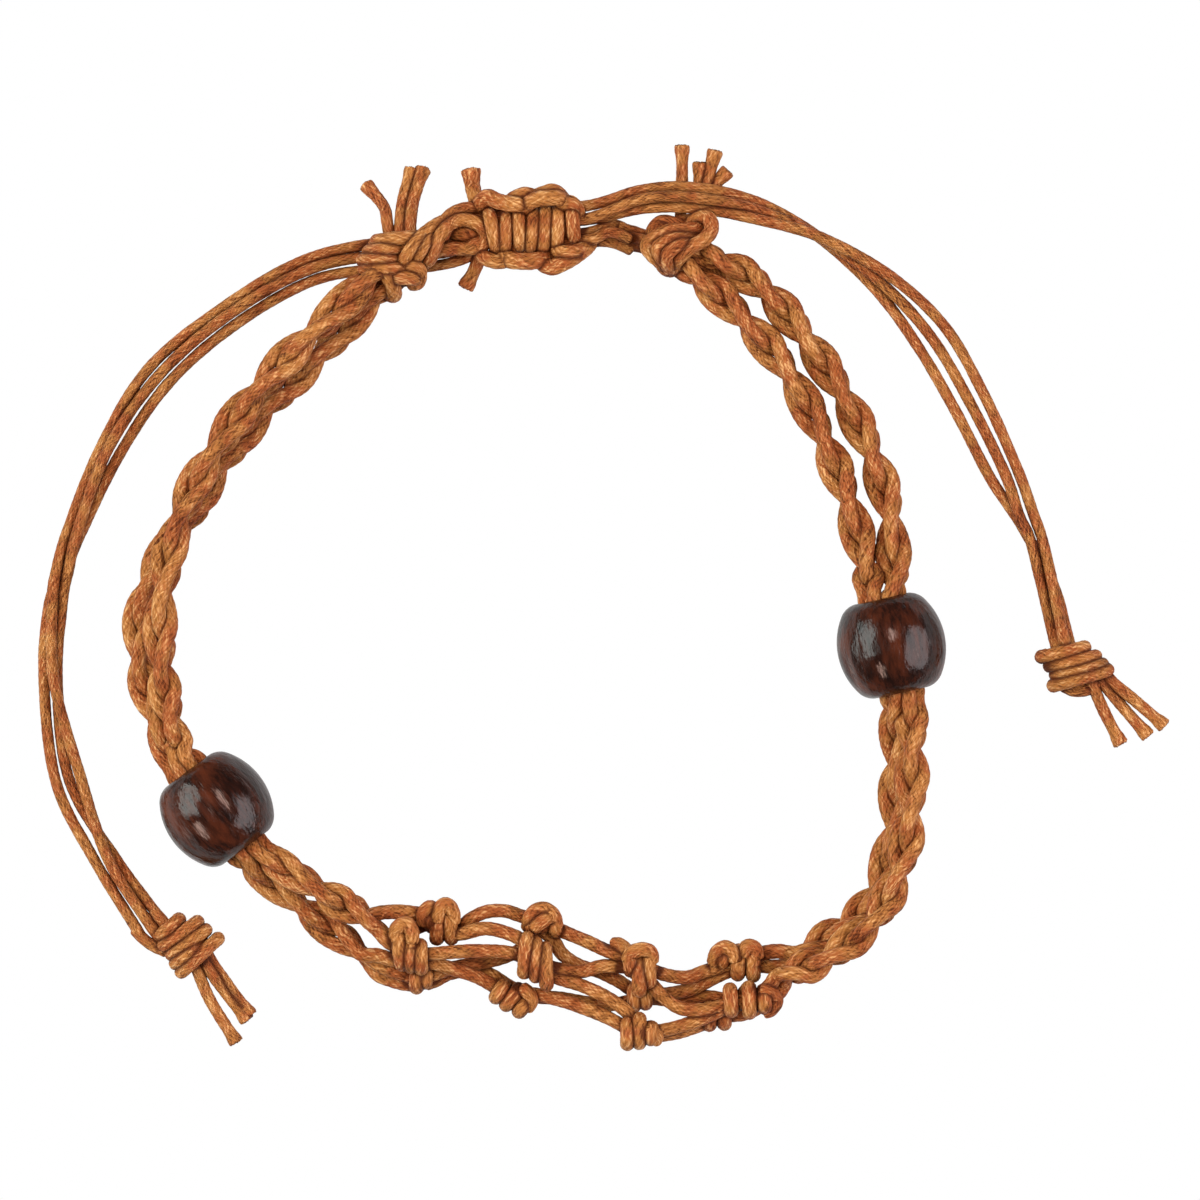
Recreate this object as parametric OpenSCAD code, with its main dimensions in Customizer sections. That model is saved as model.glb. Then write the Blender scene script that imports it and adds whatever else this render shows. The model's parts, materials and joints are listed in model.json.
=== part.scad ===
// Macrame bracelet lying flat: four three-strand braids, two wooden beads, a knotted net and a
// sliding knot with two loose tails. Millimetres, +Z up. It lies on the plane z = 0, and the origin
// is under the middle of the loop. +X runs to the right bead's side and +Y to the sliding knot.

/* [Cord] */
// Thickness of the waxed cord
cord_d = 0.85; // [0.7:0.05:0.85]
// Sides of a braid strand's section
strand_sides = 6; // [5:1:6]
// Rings of points along one lobe of a braid
lobe_rings = 5; // [5:1:6]

/* [Beads] */
// Diameter of a bead at its middle
bead_d = 8.1; // [7.4:0.1:8.1]
// Length of a bead along its hole
bead_len = 7.2; // [6:0.1:7.4]
// Diameter of the hole
bead_hole_d = 4.2; // [3.9:0.1:4.4]
// Radius of the barrel's curved side
bead_bulge_r = 5.2; // [5.2:0.2:9]
// Radius of the bead's rounded rim
bead_rim_r = 1.6; // [1.2:0.1:1.6]

/* [Net] */
// Length of a net knot along its cord
net_knot_len = 2; // [1.9:0.05:2.1]
// Diameter of the cords inside a net knot
net_knot_core_d = 1.9; // [1.7:0.05:1.9]
// Diameter of the circle that a net knot's two turns follow
net_turn_d = 2.24; // [2.1:0.02:2.26]
// Rings of points along a stretch of the net
net_rings = 5; // [4:1:7]

/* [Sliding knot] */
// Turns of cord in the sliding knot
slide_turns = 7; // [5:1:7]
// Distance from one turn to the next
slide_pitch = 1; // [0.96:0.01:1]
// Width of a turn, along Y, between its cord's middles
slide_w = 5.8; // [5.8:0.1:6]
// Height of a turn between its cord's middles
slide_h = 3.3; // [3.3:0.05:3.4]

/* [Tails] */
// Sides of a tail strand's section
tail_sides = 8; // [8:1:10]

/* [Hidden] */
CARAMEL = "#a9622f";
LIGHT_CARAMEL = "#b8763d";
DARK_WOOD = "#2b1713";

// How far the strands of a braid move sideways and up from its middle line, in a table with a row for
// each quarter of a lobe. One strand takes three lobes to come back to its first place.
// columns: sideways, up
WEAVE = [
    [0, 1], [-0.12, 0.92], [0.04, 0.1], [0.66, -0.75],
    [0.08, -1], [-0.66, -0.72], [-0.87, -0.3], [-0.64, -0.05],
    [0, 0], [0.68, 0.1], [0.87, 0.45], [0.37, 0.88],
];
QUARTERS = 4;

// Each bead: its middle, and the direction of its hole towards the net
BEADS = [
    [[-23.7, -15.9, 4.05], [0.6, -0.8, 0]],
    [[26.6, -3.7, 4.05], [0.22, -0.9755, 0]],
];
// The two braids lie side by side in a bead, and a braid's strands sit round their own middle
BRAID_SHIFT = 0.7;
STRAND_R = 1.35;
// Angle of a strand in the hole by its place at the last pinch: top, bottom, middle
PLACE_ANGLES = [60, -60, 0];

// Each braid: bead, side of the hole, the pinches of its middle line before and after the bead, and how
// many of the points nearest to the bead on each of those two stretches are no pinches
LEFT_UPPER = [0, 1,
    [[-12.2, 23.8, 3.6], [-16.6, 19.6, 4.6], [-20.5, 15.5, 4.7], [-23.9, 10.8, 4.7], [-26.4, 6, 4.7],
     [-27.7, 0.4, 4.7], [-27.8, -5.2, 4.7], [-26.7, -10.7, 4.4]],
    [[-19.4, -19.5, 4.5], [-16.2, -22.1, 4.6], [-12.9, -24, 3.9]], 1, 0];
LEFT_LOWER = [0, -1,
    [[-12, 22.4, 1.6], [-16.1, 18.1, 1.55], [-20, 14.2, 1.55], [-23.5, 9.9, 1.55], [-26.2, 5.4, 1.55],
     [-28.95, 0.9, 1.55], [-29.6, -4.6, 1.6], [-27.9, -10.3, 3.4]],
    [[-19.2, -22.2, 2.2], [-16.2, -24.6, 1.55], [-12.9, -26.9, 1.55]], 1, 0];
RIGHT_UPPER = [1, 1,
    [[13.9, 25, 2], [17.3, 22.8, 1.55], [20.2, 19.3, 1.55], [23, 15.1, 1.55], [25.2, 10.6, 1.55],
     [26.6, 5.9, 2], [27.15, 1.4, 4.1]],
    [[28.1, -9.2, 4.6], [28.1, -11.4, 4.7], [28, -16.1, 4.7], [27.1, -20.6, 4.7], [25.2, -24.2, 4.7],
     [21.9, -26.9, 4.4], [18.9, -28.1, 3.9]], 0, 1];
RIGHT_LOWER = [1, -1,
    [[12.2, 23.8, 1.8], [15.7, 20.6, 1.55], [19, 16.6, 1.55], [21.6, 11.7, 1.55], [23.4, 7.2, 1.6],
     [24.7, 2.3, 3.4]],
    [[26.9, -9.6, 3], [27, -12.6, 1.6], [26.85, -17.4, 1.55], [25.6, -22.1, 1.55], [23.3, -24.7, 1.55],
     [20.5, -26.4, 1.55]], 0, 1];
BRAIDS = [LEFT_UPPER, LEFT_LOWER, RIGHT_UPPER, RIGHT_LOWER];
SIDE_BRAIDS = 2;
STRANDS = 3;

// The net's knots; columns: x, y, z of the middle, heading in degrees
NET_KNOTS = [
    [-9.2, -26.6, 3.6, -8],
    [-7.1, -24.3, 1.7, 0],
    [-8.3, -29.2, 1.65, 5],
    [-1.6, -30.1, 1.65, -15],
    [0.7, -24.3, 1.65, -20],
    [0.3, -27.2, 3.6, -5],
    [7.6, -27.7, 3.9, 0],
    [7.8, -32.2, 3.9, 10],
    [15.4, -27.3, 1.7, 8],
    [16.2, -30.2, 3.6, 12],
    [13.4, -31.6, 1.65, 12],
    [7.9, -29.9, 1.62, 0],
];
// The six cords of the net, knot by knot; columns: knot, side on which it enters, side on which it leaves
NET_CORDS = [
    [[2, 1, 1], [5, 1, 1], [7, 1, 1], [9, 1, 1]],
    [[2, -1, -1], [6, 1, 1], [7, -1, -1], [10, 1, 1]],
    [[1, 1, 1], [6, -1, -1], [8, 1, 1], [10, -1, -1]],
    [[1, -1, -1], [4, 1, -1], [8, -1, -1], [11, -1, -1]],
    [[3, -1, -1], [4, -1, 1], [12, -1, -1], [11, 1, 1]],
    [[3, 1, 1], [5, -1, -1], [12, 1, 1], [9, -1, -1]],
];
// Where each braid strand ends, braid by braid; columns: knot, face, sideways, up, points on the way
ENDS = [
    [[2, -1, 0, 1, []], [1, -1, 1, 0, []], [2, -1, 0, -1, []]],
    [[3, -1, 0, 1, []], [1, -1, -1.2, -0.4, [[-11.7, -27.4, 2.8]]], [3, -1, 0, -1, []]],
    [[10, 1, 0, -1, []], [10, 1, 0, 1, []], [11, 1, 0, 1, [[18.1, -29.5, 2.2], [16.7, -30.8, 1.65]]]],
    [[9, 1, 0, 1, []], [11, 1, 0, -1, [[18.6, -29, 0.5], [16.9, -30.4, 0.5]]], [9, 1, 0, -1, []]],
];
// A cord's place on the face of a net knot, its gap to that face, and its straight stretch before it
PORT_OFF = 0.47;
PORT_GAP = 0.2;
PORT_RUN = 0.7;
// Reach of a net stretch's curve beyond each knot, as a share of the distance between the two
NET_REACH = 0.35;
NET_TURN_GAP = 0.95;

SLIDE_MIDDLE = [-0.1, 27.4, 2.1];
// Cut ends of the sliding knot's own cord
SLIDE_ENDS = [
    [[-4.1, 30.3, 1.3], [-4.6, 31.2, 0.8], [-4.8, 32, 0.7]],
    [[-4.3, 24.6, 0.9], [-4.6, 24, 0.6], [-5.2, 23.2, 0.5]],
];
SLIDE_END_D = [1.15, 0.95];

// Wrapped knots. Turns; columns: x, y, half length of a turn, seen from above
LEFT_GATHER_TURNS = [[-10.1, 26.7, 1.95], [-10.6, 25.5, 2.3], [-9.7, 24.3, 1.7], [-10.4, 23.1, 0.85]];
LEFT_GATHER_ENDS = [
    [[-11, 27.9, 2.4], [-11.3, 29.2, 1.4], [-12.6, 30.8, 0.6]],
    [[-10, 27.9, 2.4], [-10, 29.7, 1.3], [-9.3, 32, 0.6]],
    [[-8.9, 27.9, 2.4], [-8.9, 29.7, 1.3], [-8.2, 32.1, 0.6]],
];
RIGHT_GATHER_TURNS = [[10.7, 27, 2.5], [10.8, 25.9, 2.2], [10.7, 24.9, 1.2]];
RIGHT_GATHER_ENDS = [
    [[10.8, 28.2, 0.6], [11, 30.5, 0.5], [11, 33.8, 0.6]],
    [[12.1, 28.2, 0.6], [12.3, 30.5, 0.5], [12.3, 32.6, 0.6]],
    [[13.3, 28.1, 0.6], [13.4, 30.5, 0.5], [13.8, 33.2, 0.6]],
];
RIGHT_TAIL_TURNS = [[39.5, -4.2, 2], [40.4, -5.2, 2.3], [41, -6.2, 2.3], [40.3, -7.3, 1.6]];
RIGHT_TAIL_ENDS = [
    [[42, -8.1, 0.9], [42.6, -8.9, 0.6], [43.8, -10.8, 0.5]],
    [[43, -7.6, 0.9], [44.2, -8.5, 0.6], [45.9, -10.5, 0.5]],
    [[43.9, -7, 0.9], [45.1, -7.7, 0.6], [47.3, -9.6, 0.5]],
];
LEFT_TAIL_TURNS = [[-27.1, -25.1, 1.5], [-26.3, -25.8, 2], [-25.6, -26.5, 2], [-25.1, -27.4, 1.2]];
LEFT_TAIL_ENDS = [
    [[-25.3, -28.6, 0.7], [-24.4, -30.3, 0.5], [-22.4, -33.5, 0.5]],
    [[-24.3, -28.3, 0.7], [-23.3, -29.6, 0.5], [-21.5, -31.7, 0.5]],
    [[-23.4, -27.7, 0.6], [-22.2, -28.9, 0.5], [-20.6, -30.8, 0.5]],
];
// Each wrapped knot's turns; columns: angle of the bars, height of their middles, half height
LEFT_GATHER_WRAP = [0, 2.95, 1.5];
RIGHT_GATHER_WRAP = [0, 1.65, 1.2];
RIGHT_TAIL_WRAP = [6, 1.5, 1.05];
LEFT_TAIL_WRAP = [47, 1.5, 1.05];
TURN_ANGLE = 30;

// The tails, from the gather knot where each starts, through the sliding knot, to its stopper knot
RIGHT_TAIL = [
    [[-7.3, 27.4, 3.8], [-5.9, 28.8, 3], [-3.5, 29.1, 2.2], [3.4, 29.1, 2.2], [8.2, 30.4, 2],
     [12.4, 30.6, 2], [16.9, 29.4, 0.7], [21.4, 26.8, 0.45], [25.6, 22.9, 0.45], [28.7, 18.7, 0.45],
     [31.5, 13.9, 0.45], [34.1, 8.9, 0.45], [36.4, 5.4, 0.45], [38.9, 0.7, 0.45], [40, -3.4, 1]],
    [[-7, 26.5, 2.8], [-5.9, 27.9, 2.7], [-3.5, 28.1, 2.75], [3.4, 28.1, 2.75], [8.2, 29.7, 2.7],
     [12.4, 29.8, 2.7], [16.9, 28.8, 1.4], [21.4, 26.8, 1.4], [26, 23.4, 1.15], [29.7, 19.4, 0.45],
     [32.6, 14.5, 0.45], [35.2, 9.2, 0.8], [36.3, 5.9, 1.4], [37.2, 3.8, 1.35], [38.9, -3.4, 1.3]],
    [[-7.3, 27.4, 2.4], [-5.9, 28.3, 1.6], [-3.5, 28.1, 1.45], [3.4, 28.1, 1.45], [8.2, 29, 2],
     [12.4, 28.8, 2], [16.9, 28.1, 2], [21.4, 26.8, 2.4], [26.5, 24, 1.8], [30.7, 20.2, 0.45],
     [33.6, 15.2, 0.45], [36.1, 9.6, 0.8], [37.3, 6.2, 1.2], [38.2, 3.4, 1.45], [39.6, -3.4, 2.2]],
];
LEFT_TAIL = [
    [[7.3, 27.2, 1], [5.8, 27.8, 0.9], [3.4, 27.1, 2.1], [-3.5, 27.1, 2.1], [-5.2, 26.5, 1.7],
     [-7.9, 26.5, 0.45], [-12.2, 26.4, 0.45], [-17.7, 25, 0.45], [-23.7, 21.4, 0.45], [-29, 17, 0.45],
     [-32.5, 11.2, 0.5], [-34.9, 5.2, 0.8], [-35.8, 2, 1.3], [-36.1, -0.4, 1.6], [-36, -6.3, 1.4],
     [-34, -13.6, 1.2], [-31.9, -19.8, 1.35], [-28.7, -24.8, 1.3]],
    [[7.3, 26.6, 2], [5.6, 27.2, 2.2], [3.4, 26.5, 2.75], [-3.5, 26.5, 2.75], [-5.2, 26, 2.85],
     [-7.9, 25.6, 0.45], [-12.2, 25.5, 0.45], [-17.3, 24.3, 0.95], [-23.3, 20.8, 1.1], [-28.3, 16.4, 0.6],
     [-32, 10.9, 1.3], [-34.2, 4.9, 1.4], [-34.9, 2, 1.3], [-35.4, -0.6, 1], [-35.8, -6.3, 0.45],
     [-34.9, -13.8, 0.45], [-31.2, -20, 0.45], [-28, -24.2, 1.3]],
    [[7.4, 25.8, 1.3], [5.6, 26.5, 1.3], [3.4, 26.5, 1.4], [-3.5, 26.5, 1.4], [-5.2, 25.3, 1.2],
     [-7.9, 24.7, 0.45], [-12.1, 24.5, 0.45], [-17, 23.5, 0.45], [-22.8, 20.1, 0.45], [-27.6, 15.8, 0.45],
     [-31.2, 10.5, 0.45], [-33.9, 5, 0.45], [-35.2, 2, 0.45], [-36.4, -0.6, 0.45], [-36.8, -6.3, 0.45],
     [-35.9, -13.9, 0.6], [-33.1, -19.6, 0.8], [-29.4, -25.6, 1.2]],
];

// Directions
function unit(v) = v / norm(v);
function lateral(v) = unit([-v.y, v.x, 0]);
function heading(angle) = [cos(angle), sin(angle), 0];

// Smooth curve through four values, at share t between b and c
function spline(a, b, c, d, t) =
    (2 * b + (c - a) * t + (2 * a - 5 * b + 4 * c - d) * t * t + (3 * b - a - 3 * c + d) * t * t * t) / 2;

// Point of an open route at u, counted in its own points
function at(route, u) = let(
    last = len(route) - 1,
    i = max(min(floor(u), last - 1), 0),
    b = route[i],
    c = route[i + 1],
    a = i > 0 ? route[i - 1] : 2 * b - c,
    d = i + 2 <= last ? route[i + 2] : 2 * c - b
) spline(a, b, c, d, u - i);

// Level direction across a route at u
function across(route, u) = let(step = 0.02)
    lateral(at(route, min(len(route) - 1, u + step)) - at(route, max(0, u - step)));

// From 0 to 1 as t goes from 0 to 1, with level ends
function ease(t) = let(c = min(1, max(0, t))) c * c * (3 - 2 * c);

// Place of a strand in its braid, sideways and up, at a phase counted in lobes
function weave(phase) = let(
    rows = len(WEAVE),
    f = phase * QUARTERS,
    i = floor(f) + rows,
    near = [for (step = [-1 : 2]) WEAVE[(i + step) % rows]]
) spline(near[0], near[1], near[2], near[3], f - floor(f));

// Middle of a braid at the mouth of its bead: way -1 is the upper mouth, 1 the lower
function mouth(braid, way) = let(bead = BEADS[braid[0]])
    bead[0] + way * bead_len / 2 * bead[1] + braid[1] * BRAID_SHIFT * lateral(bead[1]);

// Lobes of a braid before its bead
function lobes_above(braid) = len(braid[2]) - 1 - braid[4];

// From a braid's middle to its strand in the hole
function place_in_hole(braid, strand) = let(
    angle = PLACE_ANGLES[(lobes_above(braid) + strand) % STRANDS],
    side = braid[1] * lateral(BEADS[braid[0]][1])
) side * (STRAND_R * cos(angle) - BRAID_SHIFT) + [0, 0, STRAND_R * sin(angle)];

// A strand on a stretch of braid: share w of the way to its place in the hole
function strand_point(route, u, phase, hole, w) = let(off = weave(phase))
    at(route, u) + (1 - w) * (off[0] * across(route, u) + [0, 0, off[1]]) + w * hole;

function strand_above(braid, strand) = let(
    route = concat(braid[2], [mouth(braid, -1)]),
    lobes = lobes_above(braid),
    hole = place_in_hole(braid, strand)
) [for (i = [0 : (len(route) - 1) * lobe_rings]) let(u = i / lobe_rings)
    strand_point(route, u, min(u, lobes) + strand, hole, ease((u - lobes) / (1 + braid[4])))];

function strand_below(braid, strand) = let(
    route = concat([mouth(braid, 1)], braid[3]),
    free = 1 + braid[5],
    hole = place_in_hole(braid, strand)
) [for (i = [0 : (len(route) - 1) * lobe_rings]) let(u = i / lobe_rings)
    strand_point(route, u, lobes_above(braid) + max(0, u - free) + strand, hole, ease(1 - u / free))];

// A cord's place on a net knot's face: face -1 looks left, 1 right
function port(knot, face, side, up) = let(
    k = NET_KNOTS[knot - 1],
    along = heading(k[3])
) [k[0], k[1], k[2]] + (net_knot_len / 2 + PORT_GAP) * face * along
    + PORT_OFF * (side * lateral(along) + [0, 0, up]);

// The end of a braid strand, from the braid to its knot
function strand_end(from, end) = let(
    touch = port(end[0], end[1], end[2], end[3]),
    route = concat([from], end[4], [touch + PORT_RUN * end[1] * heading(NET_KNOTS[end[0] - 1][3]), touch])
) [for (i = [1 : 2 * (len(route) - 1)]) at(route, i / 2)];

function strand_route(braid, strand) = let(
    below = strand_below(BRAIDS[braid], strand)
) concat(strand_above(BRAIDS[braid], strand), below,
    strand_end(below[len(below) - 1], ENDS[braid][strand]));

// A stretch of the net between two knots of a cord
function net_route(from, to) = let(
    a = port(from[0], 1, from[2], 0),
    d = port(to[0], -1, to[1], 0),
    reach = NET_REACH * norm(d - a),
    b = a + reach * heading(NET_KNOTS[from[0] - 1][3]),
    c = d - reach * heading(NET_KNOTS[to[0] - 1][3])
) [for (i = [0 : net_rings - 1]) let(t = i / (net_rings - 1), s = 1 - t)
    s * s * s * a + 3 * s * s * t * b + 3 * s * t * t * c + t * t * t * d];

// Direction of a route at its point i
function tangent(route, i, closed) = let(n = len(route))
    closed ? unit(route[(i + 1) % n] - route[(i + n - 1) % n])
           : unit(route[min(i + 1, n - 1)] - route[max(i - 1, 0)]);

// Round cord along a route of points; flat is the direction that the sections keep level with
module cord(route, d, sides, flat = [0, 0, 1], closed = false) {
    n = len(route);
    spans = closed ? n : n - 1;
    points = [for (i = [0 : n - 1])
        let(t = tangent(route, i, closed), s = unit(cross(t, flat)), w = cross(s, t))
        for (k = [0 : sides - 1]) let(angle = 360 * (k + 0.5) / sides)
            route[i] + d / 2 * (cos(angle) * s + sin(angle) * w)];
    walls = [for (i = [0 : spans - 1], k = [0 : sides - 1]) let(a = i * sides, b = (i + 1) % n * sides,
        next = (k + 1) % sides) [a + k, a + next, b + next, b + k]];
    caps = closed ? [] : [
        [for (k = [0 : sides - 1]) sides - 1 - k],
        [for (k = [0 : sides - 1]) (n - 1) * sides + k],
    ];
    polyhedron(points, concat(walls, caps));
}

// One closed turn of cord standing across the heading's side, seen from above as a bar along it
module turn(middle, angle, half_len, half_height) {
    along = heading(angle);
    route = [for (t = [0 : TURN_ANGLE : 360 - TURN_ANGLE])
        middle + half_len * cos(t) * along + [0, 0, half_height * sin(t)]];
    cord(route, cord_d, strand_sides, lateral(along), true);
}

// Turns side by side, with cut ends beside them
module wrapped_knot(turns, ends, wrap) {
    for (t = turns) turn([t[0], t[1], wrap[1]], wrap[0], t[2], wrap[2]);
    for (e = ends) cord(e, cord_d, strand_sides);
}

module bead(number) {
    axis_x = bead_d / 2 - bead_bulge_r;
    reach = bead_bulge_r - bead_rim_r;
    rim_y = bead_len / 2 - bead_rim_r;
    rim_x = axis_x + sqrt(reach * reach - rim_y * rim_y);
    side_y = rim_y * bead_bulge_r / reach;
    color(DARK_WOOD)
    translate(BEADS[number][0])
    rotate([0, 90, atan2(BEADS[number][1].y, BEADS[number][1].x)])
    rotate_extrude($fn = 96)
    intersection() {
        union() {
            intersection() {
                translate([axis_x, 0]) circle(bead_bulge_r, $fn = 192);
                translate([0, -side_y]) square([bead_d, 2 * side_y]);
            }
            for (way = [-1, 1]) translate([rim_x, way * rim_y]) circle(bead_rim_r, $fn = 48);
        }
        translate([bead_hole_d / 2, -bead_len / 2]) square([bead_d, bead_len]);
    }
}

module braid_strand(braid, strand) {
    color(strand == 1 ? LIGHT_CARAMEL : CARAMEL) cord(strand_route(braid, strand), cord_d, strand_sides);
}

module net_knot(number) {
    k = NET_KNOTS[number];
    turn_wire_d = cord_d + 0.05;
    color(LIGHT_CARAMEL)
    translate([k[0], k[1], k[2]])
    rotate([0, 90, k[3]]) {
        cylinder(h = net_knot_len, d = net_knot_core_d, center = true, $fn = 48);
        for (way = [-1, 1])
            translate([0, 0, way * NET_TURN_GAP / 2])
            rotate_extrude($fn = 48) translate([net_turn_d / 2, 0]) circle(d = turn_wire_d, $fn = 24);
    }
}

module net_strand(number) {
    knots = NET_CORDS[number];
    color(CARAMEL)
    for (i = [0 : len(knots) - 2]) cord(net_route(knots[i], knots[i + 1]), cord_d, strand_sides);
}

module sliding_knot() {
    color(LIGHT_CARAMEL) {
        for (i = [0 : slide_turns - 1]) {
            middle = SLIDE_MIDDLE + [(i - (slide_turns - 1) / 2) * slide_pitch, 0, 0];
            turn(middle, 90, slide_w / 2, slide_h / 2);
        }
        for (i = [0 : 1]) cord(SLIDE_ENDS[i], SLIDE_END_D[i], strand_sides);
    }
}

module left_gather_knot() {
    color(CARAMEL) wrapped_knot(LEFT_GATHER_TURNS, LEFT_GATHER_ENDS, LEFT_GATHER_WRAP);
}

module right_gather_knot() {
    color(CARAMEL) wrapped_knot(RIGHT_GATHER_TURNS, RIGHT_GATHER_ENDS, RIGHT_GATHER_WRAP);
}

module right_tail_knot() {
    color(CARAMEL) wrapped_knot(RIGHT_TAIL_TURNS, RIGHT_TAIL_ENDS, RIGHT_TAIL_WRAP);
}

module left_tail_knot() {
    color(CARAMEL) wrapped_knot(LEFT_TAIL_TURNS, LEFT_TAIL_ENDS, LEFT_TAIL_WRAP);
}

module tail_strand(route) {
    color(CARAMEL) cord(route, cord_d, tail_sides);
}

bead(0);  // left_bead
bead(1);  // right_bead
for (i = [0 : SIDE_BRAIDS * STRANDS - 1]) {
    braid_strand(floor(i / STRANDS), i % STRANDS);
    braid_strand(SIDE_BRAIDS + floor(i / STRANDS), i % STRANDS);
}
for (i = [0 : len(NET_KNOTS) - 1])
    net_knot(i);
for (i = [0 : len(NET_CORDS) - 1])
    net_strand(i);
left_gather_knot();
right_gather_knot();
sliding_knot();
for (i = [0 : STRANDS - 1]) {
    tail_strand(RIGHT_TAIL[i]);
    tail_strand(LEFT_TAIL[i]);
}
right_tail_knot();
left_tail_knot();
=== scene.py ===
"""Looks of a macrame bracelet: waxed cotton cord in braids, a net and knots, and two lacquered beads."""

import json
import logging
import math
from collections.abc import Iterator
from dataclasses import dataclass, field
from enum import Enum

import bmesh
import bpy
import numpy as np
from mathutils import Matrix, Vector
from mathutils.kdtree import KDTree

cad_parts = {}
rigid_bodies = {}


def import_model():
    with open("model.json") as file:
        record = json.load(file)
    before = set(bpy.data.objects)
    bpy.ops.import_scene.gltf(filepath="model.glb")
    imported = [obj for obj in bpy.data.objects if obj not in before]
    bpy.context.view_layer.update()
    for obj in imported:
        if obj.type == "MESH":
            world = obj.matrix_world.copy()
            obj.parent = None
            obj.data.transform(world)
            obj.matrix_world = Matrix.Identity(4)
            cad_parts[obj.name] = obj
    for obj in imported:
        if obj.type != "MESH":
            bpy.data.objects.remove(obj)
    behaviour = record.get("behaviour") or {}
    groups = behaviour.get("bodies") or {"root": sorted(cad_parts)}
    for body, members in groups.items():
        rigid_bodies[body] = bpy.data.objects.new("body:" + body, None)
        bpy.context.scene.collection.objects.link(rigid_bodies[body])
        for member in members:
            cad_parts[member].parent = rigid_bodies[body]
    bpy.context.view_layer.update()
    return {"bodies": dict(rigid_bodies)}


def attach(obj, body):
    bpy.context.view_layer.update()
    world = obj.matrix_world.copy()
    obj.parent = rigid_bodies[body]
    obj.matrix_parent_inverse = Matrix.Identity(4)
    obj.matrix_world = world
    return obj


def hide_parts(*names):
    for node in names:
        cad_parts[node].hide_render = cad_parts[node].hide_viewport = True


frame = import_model()

log = logging.getLogger("bracelet")

Points = np.ndarray
Row = list[float]
Socket = bpy.types.NodeSocket

# Sizes are in millimetres until a mesh is made
MM = 0.001
# The photograph's scale, the pixel that lies over the origin, and its width in pixels
MM_PER_PIXEL = 0.075
ORIGIN_PIXEL = (535.0, 596.0)
PHOTO_PIXELS = 1200
# Thickness of a single cord
CORD_D = 0.85
# Strands of a braid
STRANDS = 3
UP = np.array([0.0, 0.0, 1.0])
# Points of a line that lie closer than this are one
SAME_PLACE = 1e-6
# Vertices that lie closer than this are welded
WELD = 1e-4
# Fewest steps of a line whose points are an even distance apart
FEWEST_STEPS = 6


def unit(vector: Points) -> Points:
    """A vector, or each row of an array of them, at length one."""
    return vector / np.linalg.norm(vector, axis=-1, keepdims=True)


def heading(degrees: float) -> Points:
    """The level direction at an angle from +X."""
    return np.array([math.cos(math.radians(degrees)), math.sin(math.radians(degrees)), 0.0])


def lateral(direction: Points) -> Points:
    """The level direction to the left of a direction, or of each row of directions."""
    return unit(np.stack([-direction[..., 1], direction[..., 0], 0 * direction[..., 0]], axis=-1))


def on_photo(right: float, down: float, height: float) -> Row:
    """The place in millimetres that lies at a pixel of the photograph.

    Args:
        right: Pixels from the photograph's left edge.
        down: Pixels from its top edge.
        height: Height above the floor in millimetres.

    Returns:
        x, y and z in millimetres.
    """
    return [(right - ORIGIN_PIXEL[0]) * MM_PER_PIXEL, (ORIGIN_PIXEL[1] - down) * MM_PER_PIXEL, height]


def ease(share: Points) -> Points:
    """From 0 to 1 with level ends, as share goes from 0 to 1."""
    clear = np.clip(share, 0.0, 1.0)
    return clear * clear * (3 - 2 * clear)


def curve_at(a: Points, b: Points, c: Points, d: Points, t: Points) -> Points:
    """The smooth curve through four points or rows of points, at share t between b and c."""
    square, cube = t * t, t * t * t
    return (2 * b + (c - a) * t + (2 * a - 5 * b + 4 * c - d) * square + (3 * b - a - 3 * c + d) * cube) / 2


def route_at(route: Points, where: Points) -> Points:
    """Points of an open route, counted in its own points.

    Args:
        route: The route's points, one row each.
        where: Places on it, such as 1.5 for halfway between the second point and the third.

    Returns:
        One row for each place.
    """
    last = len(route) - 1
    first = np.clip(np.floor(where).astype(int), 0, last - 1)
    padded = np.vstack([2 * route[0] - route[1], route, 2 * route[-1] - route[-2]])
    a, b, c, d = (padded[first + step] for step in range(4))
    return curve_at(a, b, c, d, (where - first)[:, None])


def places_on(route: Points, fineness: int) -> Points:
    """Places along a route, as route_at takes them, so many to each of its steps."""
    return np.linspace(0, len(route) - 1, (len(route) - 1) * fineness + 1)


def smooth_route(rows: list[Row] | Points, fineness: int = 12) -> Points:
    """A dense smooth line through an open route's points."""
    route = np.array(rows, float)
    return route_at(route, places_on(route, fineness))


def photo_route(rows: list[Row]) -> Points:
    """A smooth line through rows of photograph pixels right and down, and heights in millimetres."""
    return smooth_route([on_photo(*row) for row in rows])


def gaps(line: Points) -> Points:
    """Distances between neighbouring points of a line."""
    return np.linalg.norm(np.diff(line, axis=0), axis=1)


def distances(line: Points) -> Points:
    """Distance along a line to each of its points."""
    return np.append(0.0, np.cumsum(gaps(line)))


def evenly(line: Points, step: float) -> Points:
    """The same line with its points an even distance apart.

    Args:
        line: A dense line.
        step: The distance wanted, in millimetres.

    Returns:
        The line's points, with both ends kept.
    """
    line = line[np.append(True, gaps(line) > SAME_PLACE)]
    along = distances(line)
    wanted = np.linspace(0, along[-1], max(FEWEST_STEPS, round(along[-1] / step)) + 1)
    return np.stack([np.interp(wanted, along, line[:, axis]) for axis in range(3)], axis=1)


def length_of(line: Points) -> float:
    """Length of a line in millimetres."""
    return float(gaps(line).sum())


class End(Enum):
    """How a run of cord ends."""

    TUCKED = "tucked"
    CUT = "cut"


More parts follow.
